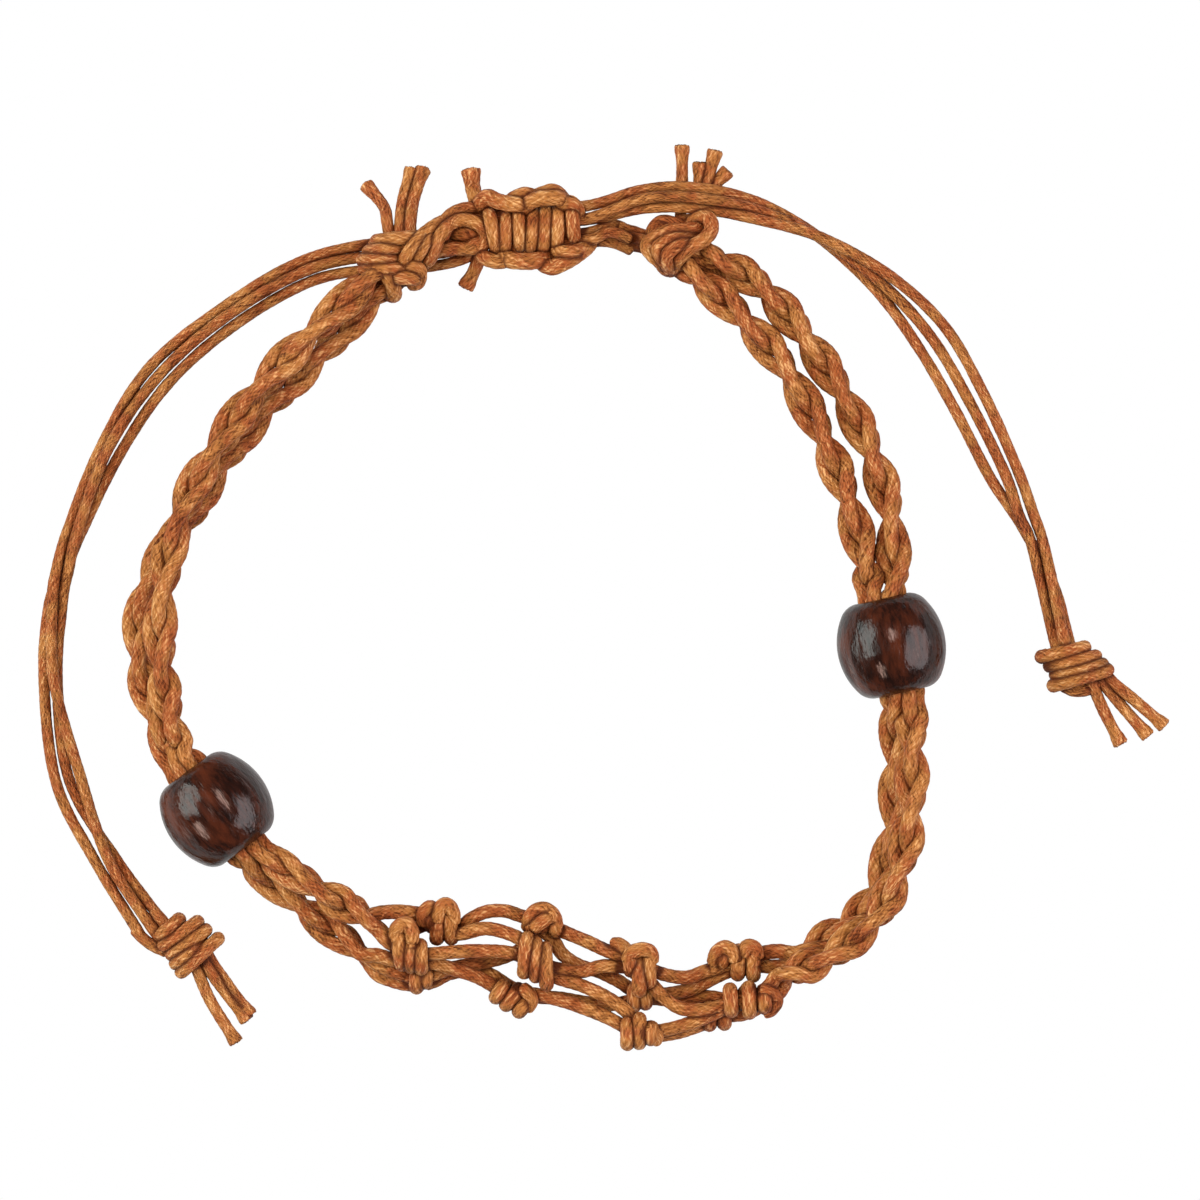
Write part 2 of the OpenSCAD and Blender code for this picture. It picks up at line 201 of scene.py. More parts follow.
@dataclass(frozen=True)
class Fray:
    """Sizes of the short yarns that stand out from a cut end. Each pair is the least and the most."""

    count: int = 7
    # How far a yarn strays round the end from its even place, in radians
    stray: tuple[float, float] = (-0.4, 0.4)
    # Where its foot stands, as a share of the flared end's diameter, and how far inside the cord it starts
    spread: tuple[float, float] = (0.2, 0.46)
    foot: float = 0.9
    depth: float = 0.4
    # How far its head leans out, as a share of its spread, and stands up, and the bow between the two
    lean: tuple[float, float] = (1.0, 1.12)
    rise: tuple[float, float] = (0.05, 0.22)
    bow: float = 0.02
    # The lowest that it hangs over the floor
    lowest: float = 0.12
    diameter: tuple[float, float] = (0.14, 0.22)
    sides: int = 6
    ring_gap: float = 0.1
    fineness: int = 4
    seed: int = 100


@dataclass
class Cord:
    """One run of waxed cord along a line, with the yarns of its cover raised in the mesh."""

    line: Points
    diameter: float = CORD_D
    far_end: End = End.TUCKED
    # Shade of the cord, from 0 for dark to 1 for pale
    tone: float = 0.5
    # Width seen from above, as a share of the diameter
    wide: float = 1.06
    # Sides of a ring of points, and the distance from ring to ring
    sides: int = 16
    ring_gap: float = 0.13
    # How far a yarn stands out, as a share of the radius
    yarn_relief: float = 0.05
    seed: int = 1

    # Columns of yarns round the cord, a yarn's length along it, and the yarns that a column crosses from
    # its edge to its middle
    COLUMNS = 4
    YARN_PITCH = 0.62
    YARN_SLANT = 2.5
    # The part of a yarn's height at which the cord has its own diameter
    YARN_LEVEL = 0.6
    # Turns of the cover in a millimetre
    TWIST = 0.02
    # Slow swell of a hand-laid cord: its share of the radius, its rates a millimetre and its widest shift
    SWELL = 0.012
    SWELL_RATES = (0.9, 1.7, 3.1)
    SWELL_SHIFT = 6.28
    # A tucked end closes over this length
    TIP_LENGTH = 0.3
    # A cut end widens to this share over this length
    FLARE = 1.3
    FLARE_LENGTH = 1.2
    # Rings that close a cut end; columns: share of the rim's radius, rise
    CUT_RINGS = ((0.94, 0.05), (0.8, 0.09), (0.6, 0.08), (0.35, 0.1), (0.15, 0.08))
    CUT_TOP = 0.08
    # The least and the most that a place of a cut end rises beside its ring
    CUT_UNEVEN = (-0.06, 0.08)
    FRAY = Fray()
    # A line steeper than this starts its rings from +X and not from above
    STEEP = 0.8

    def __post_init__(self) -> None:
        """Spaces the line's points evenly."""
        self.line = evenly(self.line, self.ring_gap)

    @property
    def length(self) -> float:
        """Length in millimetres."""
        return length_of(self.line)

    @property
    def along(self) -> Points:
        """Distance along the cord to each ring."""
        return np.linspace(0, self.length, len(self.line))

    def directions(self) -> Points:
        """The line's direction at each of its points."""
        return unit(np.gradient(self.line, axis=0))

    def frames(self) -> tuple[Points, Points]:
        """Carries two directions across the cord along it without twist.

        Returns:
            The first direction at each point, and the second.
        """
        ways = self.directions()
        start = UP if abs(ways[0][2]) < self.STEEP else np.array([1.0, 0.0, 0.0])
        side = np.cross(ways[0], start)
        sides = []
        for way in ways:
            side = side - way * side.dot(way)
            side = side / math.sqrt(side.dot(side))
            sides.append(side)
        first = np.array(sides)
        return first, np.cross(ways, first)

    def radii(self, rng: np.random.Generator) -> Points:
        """Works out the slow swell of the cord and its two ends.

        Args:
            rng: Shifts the waves of the swell.

        Returns:
            Radius at each ring.
        """
        along = self.along
        waves = sum(np.sin(along * rate + rng.uniform(0, self.SWELL_SHIFT)) for rate in self.SWELL_RATES)
        radius = self.diameter / 2 * (1 + self.SWELL * waves)
        for end, distance in ((End.TUCKED, along), (self.far_end, along[::-1])):
            if end is End.CUT:
                radius *= 1 + (self.FLARE - 1) * (1 - ease(distance / self.FLARE_LENGTH))
            else:
                radius *= np.sqrt(1 - (1 - np.clip(distance / self.TIP_LENGTH, 0, 1)) ** 2)
        return radius

    def surface(self) -> Points:
        """Lays the cover's points in rings round the line.

        Returns:
            Places as rings by sides, with one more side that closes each ring.
        """
        rng = np.random.default_rng(self.seed)
        across, over = self.frames()
        radius = self.radii(rng)
        along = self.along[:, None]
        share = (np.arange(self.sides + 1) / self.sides)[None, :]
        fold = 1 - np.abs(1 - np.mod(share * self.COLUMNS, 2.0))
        yarn = np.abs(np.sin(math.pi * (along / self.YARN_PITCH + fold * self.YARN_SLANT)))
        radius = radius[:, None] * (1 + self.yarn_relief * (yarn - self.YARN_LEVEL))
        turn = 2 * math.pi * share + self.TWIST * along * 2 * math.pi
        reach = across[:, None] * (radius * np.cos(turn))[..., None]
        reach = reach + over[:, None] * (radius * np.sin(turn))[..., None]
        reach[..., :2] *= self.wide
        rings = self.line[:, None] + reach
        if self.far_end is End.CUT:
            rings = np.concatenate([rings, self.cut_face(rings[-1], rng)])
        return rings

    def cut_face(self, rim: Points, rng: np.random.Generator) -> Points:
        """Closes a cut end with a rough, slightly domed face of yarn ends.

        Args:
            rim: The cord's last ring.
            rng: Makes the face uneven.

        Returns:
            The rings of the face.
        """
        way, middle = self.directions()[-1], self.line[-1]
        rings = []
        for share, rise in self.CUT_RINGS:
            uneven = rng.uniform(*self.CUT_UNEVEN, len(rim))
            uneven[-1] = uneven[0]
            rings.append(middle + (rim - middle) * share + way * (rise + uneven)[:, None])
        rings.append(np.repeat((middle + way * self.CUT_TOP)[None], len(rim), axis=0))
        return np.array(rings)

    def yarn_ends(self) -> list["Cord"]:
        """Lays short yarns that stand out from a cut end.

        Returns:
            A thin cord for each yarn, and none where the end is tucked.
        """
        if self.far_end is not End.CUT:
            return []
        fray = self.FRAY
        rng = np.random.default_rng(self.seed + fray.seed)
        across, over = self.frames()
        way, tip = self.directions()[-1], self.line[-1]
        yarns = []
        for number in range(fray.count):
            angle = 2 * math.pi * number / fray.count + rng.uniform(*fray.stray)
            out = across[-1] * math.cos(angle) + over[-1] * math.sin(angle)
            spread = self.diameter * self.FLARE * rng.uniform(*fray.spread)
            foot = tip + out * spread * fray.foot - way * fray.depth
            head = tip + out * spread * rng.uniform(*fray.lean) + way * rng.uniform(*fray.rise)
            route = np.array([foot, (foot + head) / 2 + out * fray.bow, head])
            route[:, 2] = np.maximum(route[:, 2], fray.lowest)
            yarns.append(Cord(
                smooth_route(route, fray.fineness), diameter=rng.uniform(*fray.diameter), tone=self.tone,
                sides=fray.sides, ring_gap=fray.ring_gap, yarn_relief=0.0, seed=self.seed + number,
            ))
        return yarns


@dataclass
class Crowd:
    """The middle lines of all cords, to find how close the next cord lies to a surface, where the wax gets
    painted shade.
    """

    # How far from a ring's middle other cords are looked for
    reach: float = 1.5
    # A gap between two covers at which their shade ends
    gap: float = 0.42
    # Two cords whose middles lie closer than this are one cord that carries on
    same: float = 0.42
    # Distance between the spots that stand for a line
    sample_gap: float = 0.35
    # Length of its own line, to each side, that a cord overlooks
    own_stretch: float = 2.5
    # Each spot's place, its cord's number, its distance along the cord and the cord's radius
    spots: list[tuple[Points, int, float, float]] = field(default_factory=list)
    tree: KDTree | None = None
    numbers: dict[int, int] = field(default_factory=dict)

    def add(self, cord: Cord) -> None:
        """Adds a cord's middle line.

        Args:
            cord: The run of cord.
        """
        number = self.numbers.setdefault(id(cord), len(self.numbers))
        line = evenly(cord.line, self.sample_gap)
        for place, along in zip(line, np.linspace(0, cord.length, len(line))):
            self.spots.append((place, number, along, cord.diameter / 2))

    def settle(self) -> None:
        """Builds the search tree once every cord is in."""
        self.tree = KDTree(len(self.spots))
        for number, spot in enumerate(self.spots):
            self.tree.insert(spot[0], number)
        self.tree.balance()

    def crevice(self, cord: Cord, rings: Points) -> Points:
        """Finds how deep each point of a cord's cover lies between cords.

        Args:
            cord: The run of cord.
            rings: The rings of its cover.

        Returns:
            1 at a point where two cords touch, down to 0 in the open.
        """
        own = self.numbers.get(id(cord), -1)
        result = np.zeros(rings.shape[:2])
        step = cord.length / max(1, len(cord.line) - 1)
        for row, ring in enumerate(rings):
            along = row * step
            near: dict[int, list] = {}
            for _, number, distance in self.tree.find_range(ring.mean(axis=0), self.reach):
                place, owner, spot_along, radius = self.spots[number]
                if owner != own or abs(spot_along - along) > self.own_stretch:
                    near.setdefault(owner, []).append((*place, radius, distance))
            others = [spots for spots in near.values() if min(spot[4] for spot in spots) > self.same]
            if others:
                table = np.array([spot for spots in others for spot in spots])
                clear = np.linalg.norm(ring[:, None] - table[None, :, :3], axis=2) - table[:, 3]
                result[row] = np.clip(1 - clear.min(axis=1) / self.gap, 0, 1)
        return result


@dataclass(frozen=True)
class Tone:
    """A colour as the photograph's screen values, from 0 to 255."""

    red: int
    green: int
    blue: int

    @property
    def linear(self) -> tuple[float, float, float, float]:
        """The colour in linear light, as Blender's sockets take it.

        Returns:
            Red, green, blue and a full alpha.
        """
        def curve(value: int) -> float:
            """One channel in linear light, by the sRGB curve."""
            share = value / 255
            return share / 12.92 if share <= 0.04045 else ((share + 0.055) / 1.055) ** 2.4
        return (curve(self.red), curve(self.green), curve(self.blue), 1.0)


class Graph:
    """A node tree of a material or a group, with short calls for the nodes that the finishes use.

    A value in these calls is a socket to link, or a plain number, vector or colour.
    """

    def __init__(self, tree: bpy.types.NodeTree) -> None:
        """Keeps the tree."""
        self.tree = tree

    def node(self, kind: str, **settings: object) -> bpy.types.Node:
        """Adds a node.

        Args:
            kind: Its type.
            settings: Its options.

        Returns:
            The node.
        """
        made = self.tree.nodes.new(kind)
        for name, value in settings.items():
            setattr(made, name, value)
        return made

    def feed(self, sockets: object, values: dict[str | int, object]) -> None:
        """Links inputs to values' sockets, or sets them to plain values.

        Args:
            sockets: The inputs.
            values: The values, by input name or number.
        """
        for name, value in values.items():
            if isinstance(value, Socket):
                self.tree.links.new(value, sockets[name])
            else:
                sockets[name].default_value = value

    def made(self, kind: str, values: dict[str | int, object], **settings: object) -> bpy.types.Node:
        """Adds a node and feeds its inputs.

        Args:
            kind: Its type.
            values: The values, by input name or number.
            settings: Its options.

        Returns:
            The node.
        """
        node = self.node(kind, **settings)
        self.feed(node.inputs, values)
        return node

    def math(self, operation: str, *values: object) -> Socket:
        """The result of a Math node on one to three values."""
        return self.made("ShaderNodeMath", dict(enumerate(values)), operation=operation).outputs[0]

    def centred(self, value: object) -> Socket:
        """A value from 0 to 1, moved to lie from -0.5 to 0.5."""
        return self.math("SUBTRACT", value, 0.5)

    def total(self, first: object, *parts: tuple[object, float]) -> Socket:
        """Adds shares of other values to a value.

        Args:
            first: The value.
            parts: Each other value, and what it is multiplied by.

        Returns:
            The sum.
        """
        for value, share in parts:
            first = self.math("ADD", first, self.math("MULTIPLY", value, share))
        return first

    def span(self, value: object, low: float, high: float, to_low: float = 0.0, to_high: float = 1.0
             ) -> Socket:
        """A value moved smoothly from one range to another.

        Args:
            value: The value.
            low: Start of the first range.
            high: Its end.
            to_low: Start of the second range.
            to_high: Its end.

        Returns:
            The moved value.
        """
        values = {"Value": value, "From Min": low, "From Max": high, "To Min": to_low, "To Max": to_high}
        return self.made("ShaderNodeMapRange", values, interpolation_type="SMOOTHSTEP").outputs["Result"]

    def blend(self, share: object, first: object, second: object) -> Socket:
        """A mix of two colours.

        Args:
            share: Share of the second colour.
            first: The first colour.
            second: The second one.

        Returns:
            The mixed colour.
        """
        mix = self.node("ShaderNodeMix", data_type="RGBA")
        sockets = {one.identifier: one for one in (*mix.inputs, *mix.outputs)}
        self.feed(sockets, {"Factor_Float": share, "A_Color": first, "B_Color": second})
        return sockets["Result_Color"]

    def noise(self, place: object, scale: float, detail: float = 2.0, rough: float = 0.5) -> Socket:
        """The value of a noise texture at a place."""
        values = {"Vector": place, "Scale": scale, "Detail": detail, "Roughness": rough}
        return self.made("ShaderNodeTexNoise", values).outputs["Fac"]

    def join(self, *values: object) -> Socket:
        """A vector of up to three values."""
        return self.made("ShaderNodeCombineXYZ", dict(enumerate(values))).outputs[0]


FLOAT, COLOR, VECTOR = "NodeSocketFloat", "NodeSocketColor", "NodeSocketVector"


def new_group(name: str, inputs: dict[str, str]) -> tuple[bpy.types.NodeTree, Graph]:
    """A shader node group that draws a finish: its outputs are Color, Roughness and Height.

    Args:
        name: The group's name.
        inputs: Socket type by input name.

    Returns:
        The group and its graph.
    """
    tree = bpy.data.node_groups.new(name, "ShaderNodeTree")
    outputs = {"Color": COLOR, "Roughness": FLOAT, "Height": FLOAT}
    for way, sockets in (("INPUT", inputs), ("OUTPUT", outputs)):
        for label, kind in sockets.items():
            tree.interface.new_socket(label, in_out=way, socket_type=kind)
    return tree, Graph(tree)


def drawn_finish(name: str, tree: bpy.types.NodeTree, relief: float, specular: float
                 ) -> tuple[bpy.types.Material, Graph, bpy.types.Node]:
    """A material whose finish a group draws.

    Args:
        name: The material's name.
        tree: The group.
        relief: Depth of the group's height in millimetres.
        specular: The shader's specular level.

    Returns:
        The material, its graph and the group's node, with inputs still to be fed.
    """
    material = bpy.data.materials.new(name)
    material.use_nodes = True
    graph = Graph(material.node_tree)
    group = graph.node("ShaderNodeGroup", node_tree=tree)
    drawn = group.outputs
    bump = graph.made("ShaderNodeBump", {"Strength": 1.0, "Distance": relief * MM, "Height": drawn["Height"]})
    graph.feed(material.node_tree.nodes["Principled BSDF"].inputs, {
        "Base Color": drawn["Color"], "Roughness": drawn["Roughness"], "Normal": bump.outputs[0],
        "Specular IOR Level": specular,
    })
    return material, graph, group


@dataclass(frozen=True)
class YarnCover:
    """The yarns of a braided cotton cover, laid in chevrons, with their crowns painted paler and the grooves
    between them darker as painted highlight and painted shade, and painted shade where cords crowd each
    other.

    A range is the value at which something sets in, and the one at which it is full.
    """

    # Columns of yarns round the cord, and the yarns that a column crosses from its edge to its middle
    columns: int = Cord.COLUMNS
    slant: float = Cord.YARN_SLANT
    # Noises; columns: scale, which is waves a metre but for the fibres', then detail and roughness
    wobble: tuple[float, ...] = (1200.0,)
    fibres: tuple[float, ...] = (1.0, 3.0, 0.75)
    patches: tuple[float, ...] = (380.0, 2.0, 0.6)
    specks: tuple[float, ...] = (5200.0, 1.0)
    reds: tuple[float, ...] = (560.0, 1.0)
    # How far the wobble bends the yarns, and the fibres in them
    yarn_bend: float = 1.8
    fibre_bend: float = 3.5
    # Fibres round the cord, their lean in a millimetre, and how fast they change along it
    fibres_round: float = 19.0
    fibre_lean: float = 2.4
    fibre_change: float = 0.75
    fibre_range: tuple[float, float] = (0.36, 0.64)
    # How much each thing pales the wax: a crown, which paints a highlight on the crowns and shade in the
    # grooves between yarns, a fibre, a yarn, a patch, the cord's tone, and a crevice, which paints shade
    crown_highlight_groove_shade: float = 0.16
    fibre_light: float = 0.5
    yarn_light: float = 0.12
    patch_light: float = 0.5
    tone_light: float = 0.35
    crevice_painted_shade: float = -0.06
    # Where the wax is red, with the fibres' part in it, and where it has its body's shade and its palest
    fibre_red: float = 0.14
    red_range: tuple[float, float] = (0.47, 0.67)
    body_range: tuple[float, float] = (-0.08, 0.42)
    pale_range: tuple[float, float] = (0.42, 0.86)
    # Where painted shade in a crevice sets in, and how much it darkens at most
    crevice_range: tuple[float, float] = (0.2, 1.0)
    crevice_shade: float = 0.95
    # Roughness without fibres and specks and with them, and the specks' part in it
    rough_range: tuple[float, float] = (0.2, 1.2)
    roughness: tuple[float, float] = (0.74, 0.5)
    speck_rough: float = 0.4
    # Heights, as shares of the relief
    yarn_height: float = 0.55
    fibre_height: float = 0.7
    speck_height: float = 0.12

    def group(self) -> bpy.types.NodeTree:
        """Builds the cover's node group.

        Returns:
            A group whose inputs place the yarns and name the colours.
        """
        tree, graph = new_group("yarn_cover", {
            **dict.fromkeys(("Around", "Along", "Crevice", "Tone", "Pitch"), FLOAT),
            **dict.fromkeys(("Deep", "Body", "Russet", "Pale"), COLOR),
        })
        given = graph.node("NodeGroupInput").outputs
        place = graph.node("ShaderNodeTexCoord").outputs["Object"]

        # Yarns in chevrons round the cord
        wobble = graph.centred(graph.noise(place, *self.wobble))
        lane = graph.math("MULTIPLY", given["Around"], float(self.columns))
        fold = graph.math("PINGPONG", lane, 1.0)
        phase = graph.math("DIVIDE", given["Along"], given["Pitch"])
        phase = graph.total(phase, (fold, self.slant), (wobble, self.yarn_bend))
        ridge = graph.math("ABSOLUTE", graph.math("SINE", graph.math("MULTIPLY", phase, math.pi)))
        yarn_number = graph.join(graph.math("FLOOR", phase), graph.math("FLOOR", lane))
        chance = graph.made("ShaderNodeTexWhiteNoise", {"Vector": yarn_number}, noise_dimensions="3D")

        # Fibres lie nearly along the cord, and lean the other way in every other column
        lean = graph.math("MULTIPLY", graph.math("PINGPONG", graph.math("FLOOR", lane), 1.0), 2.0)
        lean = graph.math("SUBTRACT", lean, 1.0)
        drift = graph.math("MULTIPLY", graph.math("MULTIPLY", given["Along"], self.fibre_lean), lean)
        around = graph.math("ADD", graph.math("MULTIPLY", given["Around"], self.fibres_round), drift)
        around = graph.total(around, (wobble, self.fibre_bend))
        fibre = graph.join(around, graph.math("MULTIPLY", given["Along"], self.fibre_change), lane)
        fibre = graph.span(graph.noise(fibre, *self.fibres), *self.fibre_range)
        patch = graph.centred(graph.noise(place, *self.patches))
        speck = graph.noise(place, *self.specks)

        # Painted light and shade: the crowns of the yarns are paler and the grooves between them darker, and
        # a crevice between cords is darker
        light = graph.total(
            graph.math("MULTIPLY", ridge, self.crown_highlight_groove_shade), (fibre, self.fibre_light),
            (graph.centred(chance.outputs["Value"]), self.yarn_light), (patch, self.patch_light),
            (graph.centred(given["Tone"]), self.tone_light), (given["Crevice"], self.crevice_painted_shade),
        )
        red = graph.total(graph.noise(place, *self.reds), (fibre, self.fibre_red))
        colour = graph.blend(graph.span(red, *self.red_range), given["Body"], given["Russet"])
        colour = graph.blend(graph.span(light, *self.body_range), given["Deep"], colour)
        colour = graph.blend(graph.span(light, *self.pale_range), colour, given["Pale"])
        # Painted shade: the colour goes towards the deepest wax where cords crowd each other
        shade = graph.span(given["Crevice"], *self.crevice_range, 0.0, self.crevice_shade)
        rough = graph.span(graph.total(fibre, (speck, self.speck_rough)), *self.rough_range, *self.roughness)
        graph.feed(graph.node("NodeGroupOutput").inputs, {
            "Color": graph.blend(shade, colour, given["Deep"]),
            "Roughness": rough,
            "Height": graph.total(graph.math("MULTIPLY", ridge, self.yarn_height), (fibre, self.fibre_height),
                                  (speck, self.speck_height)),
        })
        return tree


@dataclass(frozen=True)
class WaxedCord:
    """Caramel waxed cotton cord."""

    name: str
    deep: Tone = Tone(76, 30, 6)
    body: Tone = Tone(176, 110, 54)
    russet: Tone = Tone(162, 84, 40)
    pale: Tone = Tone(220, 164, 106)
    pitch: float = Cord.YARN_PITCH
    relief: float = 0.07
    specular: float = 0.22

    def make(self, cover: bpy.types.NodeTree) -> bpy.types.Material:
        """The finish as a material.

        Args:
            cover: The group that lays the yarns.

        Returns:
            A material that reads the cord's own UV map and attributes.
        """
        material, graph, group = drawn_finish(self.name, cover, self.relief, self.specular)
        uv = graph.node("ShaderNodeUVMap", uv_map="cord").outputs[0]
        around, share, _ = graph.made("ShaderNodeSeparateXYZ", {0: uv}).outputs
        run, crevice, tone = (graph.node("ShaderNodeAttribute", attribute_name=name).outputs["Fac"]
                              for name in ("run", "crevice", "tone"))
        graph.feed(group.inputs, {
            "Around": around, "Along": graph.math("MULTIPLY", share, run), "Crevice": crevice, "Tone": tone,
            "Pitch": self.pitch, "Deep": self.deep.linear, "Body": self.body.linear,
            "Russet": self.russet.linear, "Pale": self.pale.linear,
        })
        return material


@dataclass(frozen=True)
class StainedGrain:
    """Dark stained wood under lacquer, with streaks along X, a red glow in patches, and a pale painted
    highlight in deep tool marks.

    A range is the value at which something sets in, and the one at which it is full.
    """

    # Noises; columns: how much of X each sees, which draws it out along the grain, then scale in waves
    # a metre, detail and roughness
    streaks: tuple[float, ...] = (0.12, 2600.0, 4.0, 0.6)
    pores: tuple[float, ...] = (0.2, 6500.0)
    patches: tuple[float, ...] = (0.5, 420.0)
    hollows: tuple[float, ...] = (0.5, 1300.0, 3.0, 0.6)
    scratches: tuple[float, ...] = (0.14, 8000.0, 3.0, 0.7)
    # Where streaks are brown, and where patches glow, with the streaks' part in it
    brown_range: tuple[float, float] = (0.25, 0.78)
    glow_range: tuple[float, float] = (0.58, 1.0)
    streak_glow: float = 0.3
    # Where a tool mark's painted highlight has its ragged edge, with the scratches' part in it, and where the
    # mark's depth alone lets the painted highlight show
    ragged_range: tuple[float, float] = (0.3, 1.1)
    scratch_part: float = 2.4
    gouge_highlight_range: tuple[float, float] = (0.0, 0.5)
    # Roughness between pores and in them, and what a tool mark adds
    pore_range: tuple[float, float] = (0.3, 0.7)
    roughness: tuple[float, float] = (0.15, 0.26)
    gouge_rough: float = 0.2
    # Height of the pores, as a share of the hollows'
    pore_height: float = 0.14

    def group(self) -> bpy.types.NodeTree:
        """Builds the grain's node group.

        Returns:
            A group whose inputs give the place, how deep a tool mark is there, and the colours, one of them
            the painted highlight.
        """
        tree, graph = new_group("stained_grain", {
            "Vector": VECTOR, "Gouged": FLOAT, **dict.fromkeys(("Dark", "Brown", "Glow", "Gouge Highlight"), COLOR),
        })
        given = graph.node("NodeGroupInput").outputs

        def grained(share: float, *noise: float) -> Socket:
            """A noise whose X is drawn out to run along the grain."""
            values = {"Vector": given["Vector"], "Scale": (share, 1.0, 1.0)}
            return graph.noise(graph.made("ShaderNodeMapping", values).outputs[0], *noise)

        streak, pore = grained(*self.streaks), grained(*self.pores)
        patch, hollow = grained(*self.patches), grained(*self.hollows)
        scratch = graph.centred(grained(*self.scratches))
        glow = graph.span(graph.total(patch, (streak, self.streak_glow)), *self.glow_range)
        colour = graph.blend(graph.span(streak, *self.brown_range), given["Dark"], given["Brown"])
        colour = graph.blend(glow, colour, given["Glow"])
        # Painted highlight: a pale colour fills the deep tool marks, with ragged edges
        ragged = graph.span(graph.total(given["Gouged"], (scratch, self.scratch_part)), *self.ragged_range)
        gouge_highlight = graph.math("MULTIPLY", ragged, graph.span(given["Gouged"], *self.gouge_highlight_range))
        rough = graph.span(pore, *self.pore_range, *self.roughness)
        graph.feed(graph.node("NodeGroupOutput").inputs, {
            "Color": graph.blend(gouge_highlight, colour, given["Gouge Highlight"]),
            "Roughness": graph.total(rough, (given["Gouged"], self.gouge_rough)),
            "Height": graph.total(hollow, (pore, self.pore_height)),
        })
        return tree


@dataclass(frozen=True)
class LacqueredWood:
    """Very dark brown lacquered wood of a bead."""

    name: str
    # Angle of the grain from +X in radians
    turn: float
    dark: Tone = Tone(16, 5, 3)
    brown: Tone = Tone(52, 22, 12)
    glow: Tone = Tone(84, 37, 19)
    # Pale colour painted in deep tool marks as their highlight
    gouge_highlight: Tone = Tone(132, 104, 94)
    relief: float = 0.1
    specular: float = 0.36

    def make(self, grain: bpy.types.NodeTree) -> bpy.types.Material:
        """The finish as a material.

        Args:
            grain: The group that draws the grain.

        Returns:
            A material whose grain runs along the bead's hole.
        """
        material, graph, group = drawn_finish(self.name, grain, self.relief, self.specular)
        place = graph.node("ShaderNodeTexCoord").outputs["Object"]
        values = {"Vector": place, "Rotation": (0.0, 0.0, -self.turn)}
        turned = graph.made("ShaderNodeMapping", values, vector_type="POINT")
        gouged = graph.node("ShaderNodeAttribute", attribute_name="gouged").outputs["Fac"]
        graph.feed(group.inputs, {
            "Vector": turned.outputs[0], "Gouged": gouged, "Dark": self.dark.linear,
            "Brown": self.brown.linear, "Glow": self.glow.linear, "Gouge Highlight": self.gouge_highlight.linear,
        })
        return material


def in_scene(name: str, data: bpy.types.ID) -> bpy.types.Object:
    """A new object of some data, in the scene.

    Args:
        name: Its name.
        data: Its mesh, light or camera.

    Returns:
        The object.
    """
    made = bpy.data.objects.new(name, data)
    bpy.context.scene.collection.objects.link(made)
    return made


def smooth_object(name: str, form: bmesh.types.BMesh) -> bpy.types.Object:
    """A smoothly shaded object of a finished form.

    Args:
        name: Its name.
        form: The form, which is freed.

    Returns:
        The object.
    """
    mesh = bpy.data.meshes.new(name)
    form.to_mesh(mesh)
    form.free()
    mesh.shade_smooth()
    return in_scene(name, mesh)


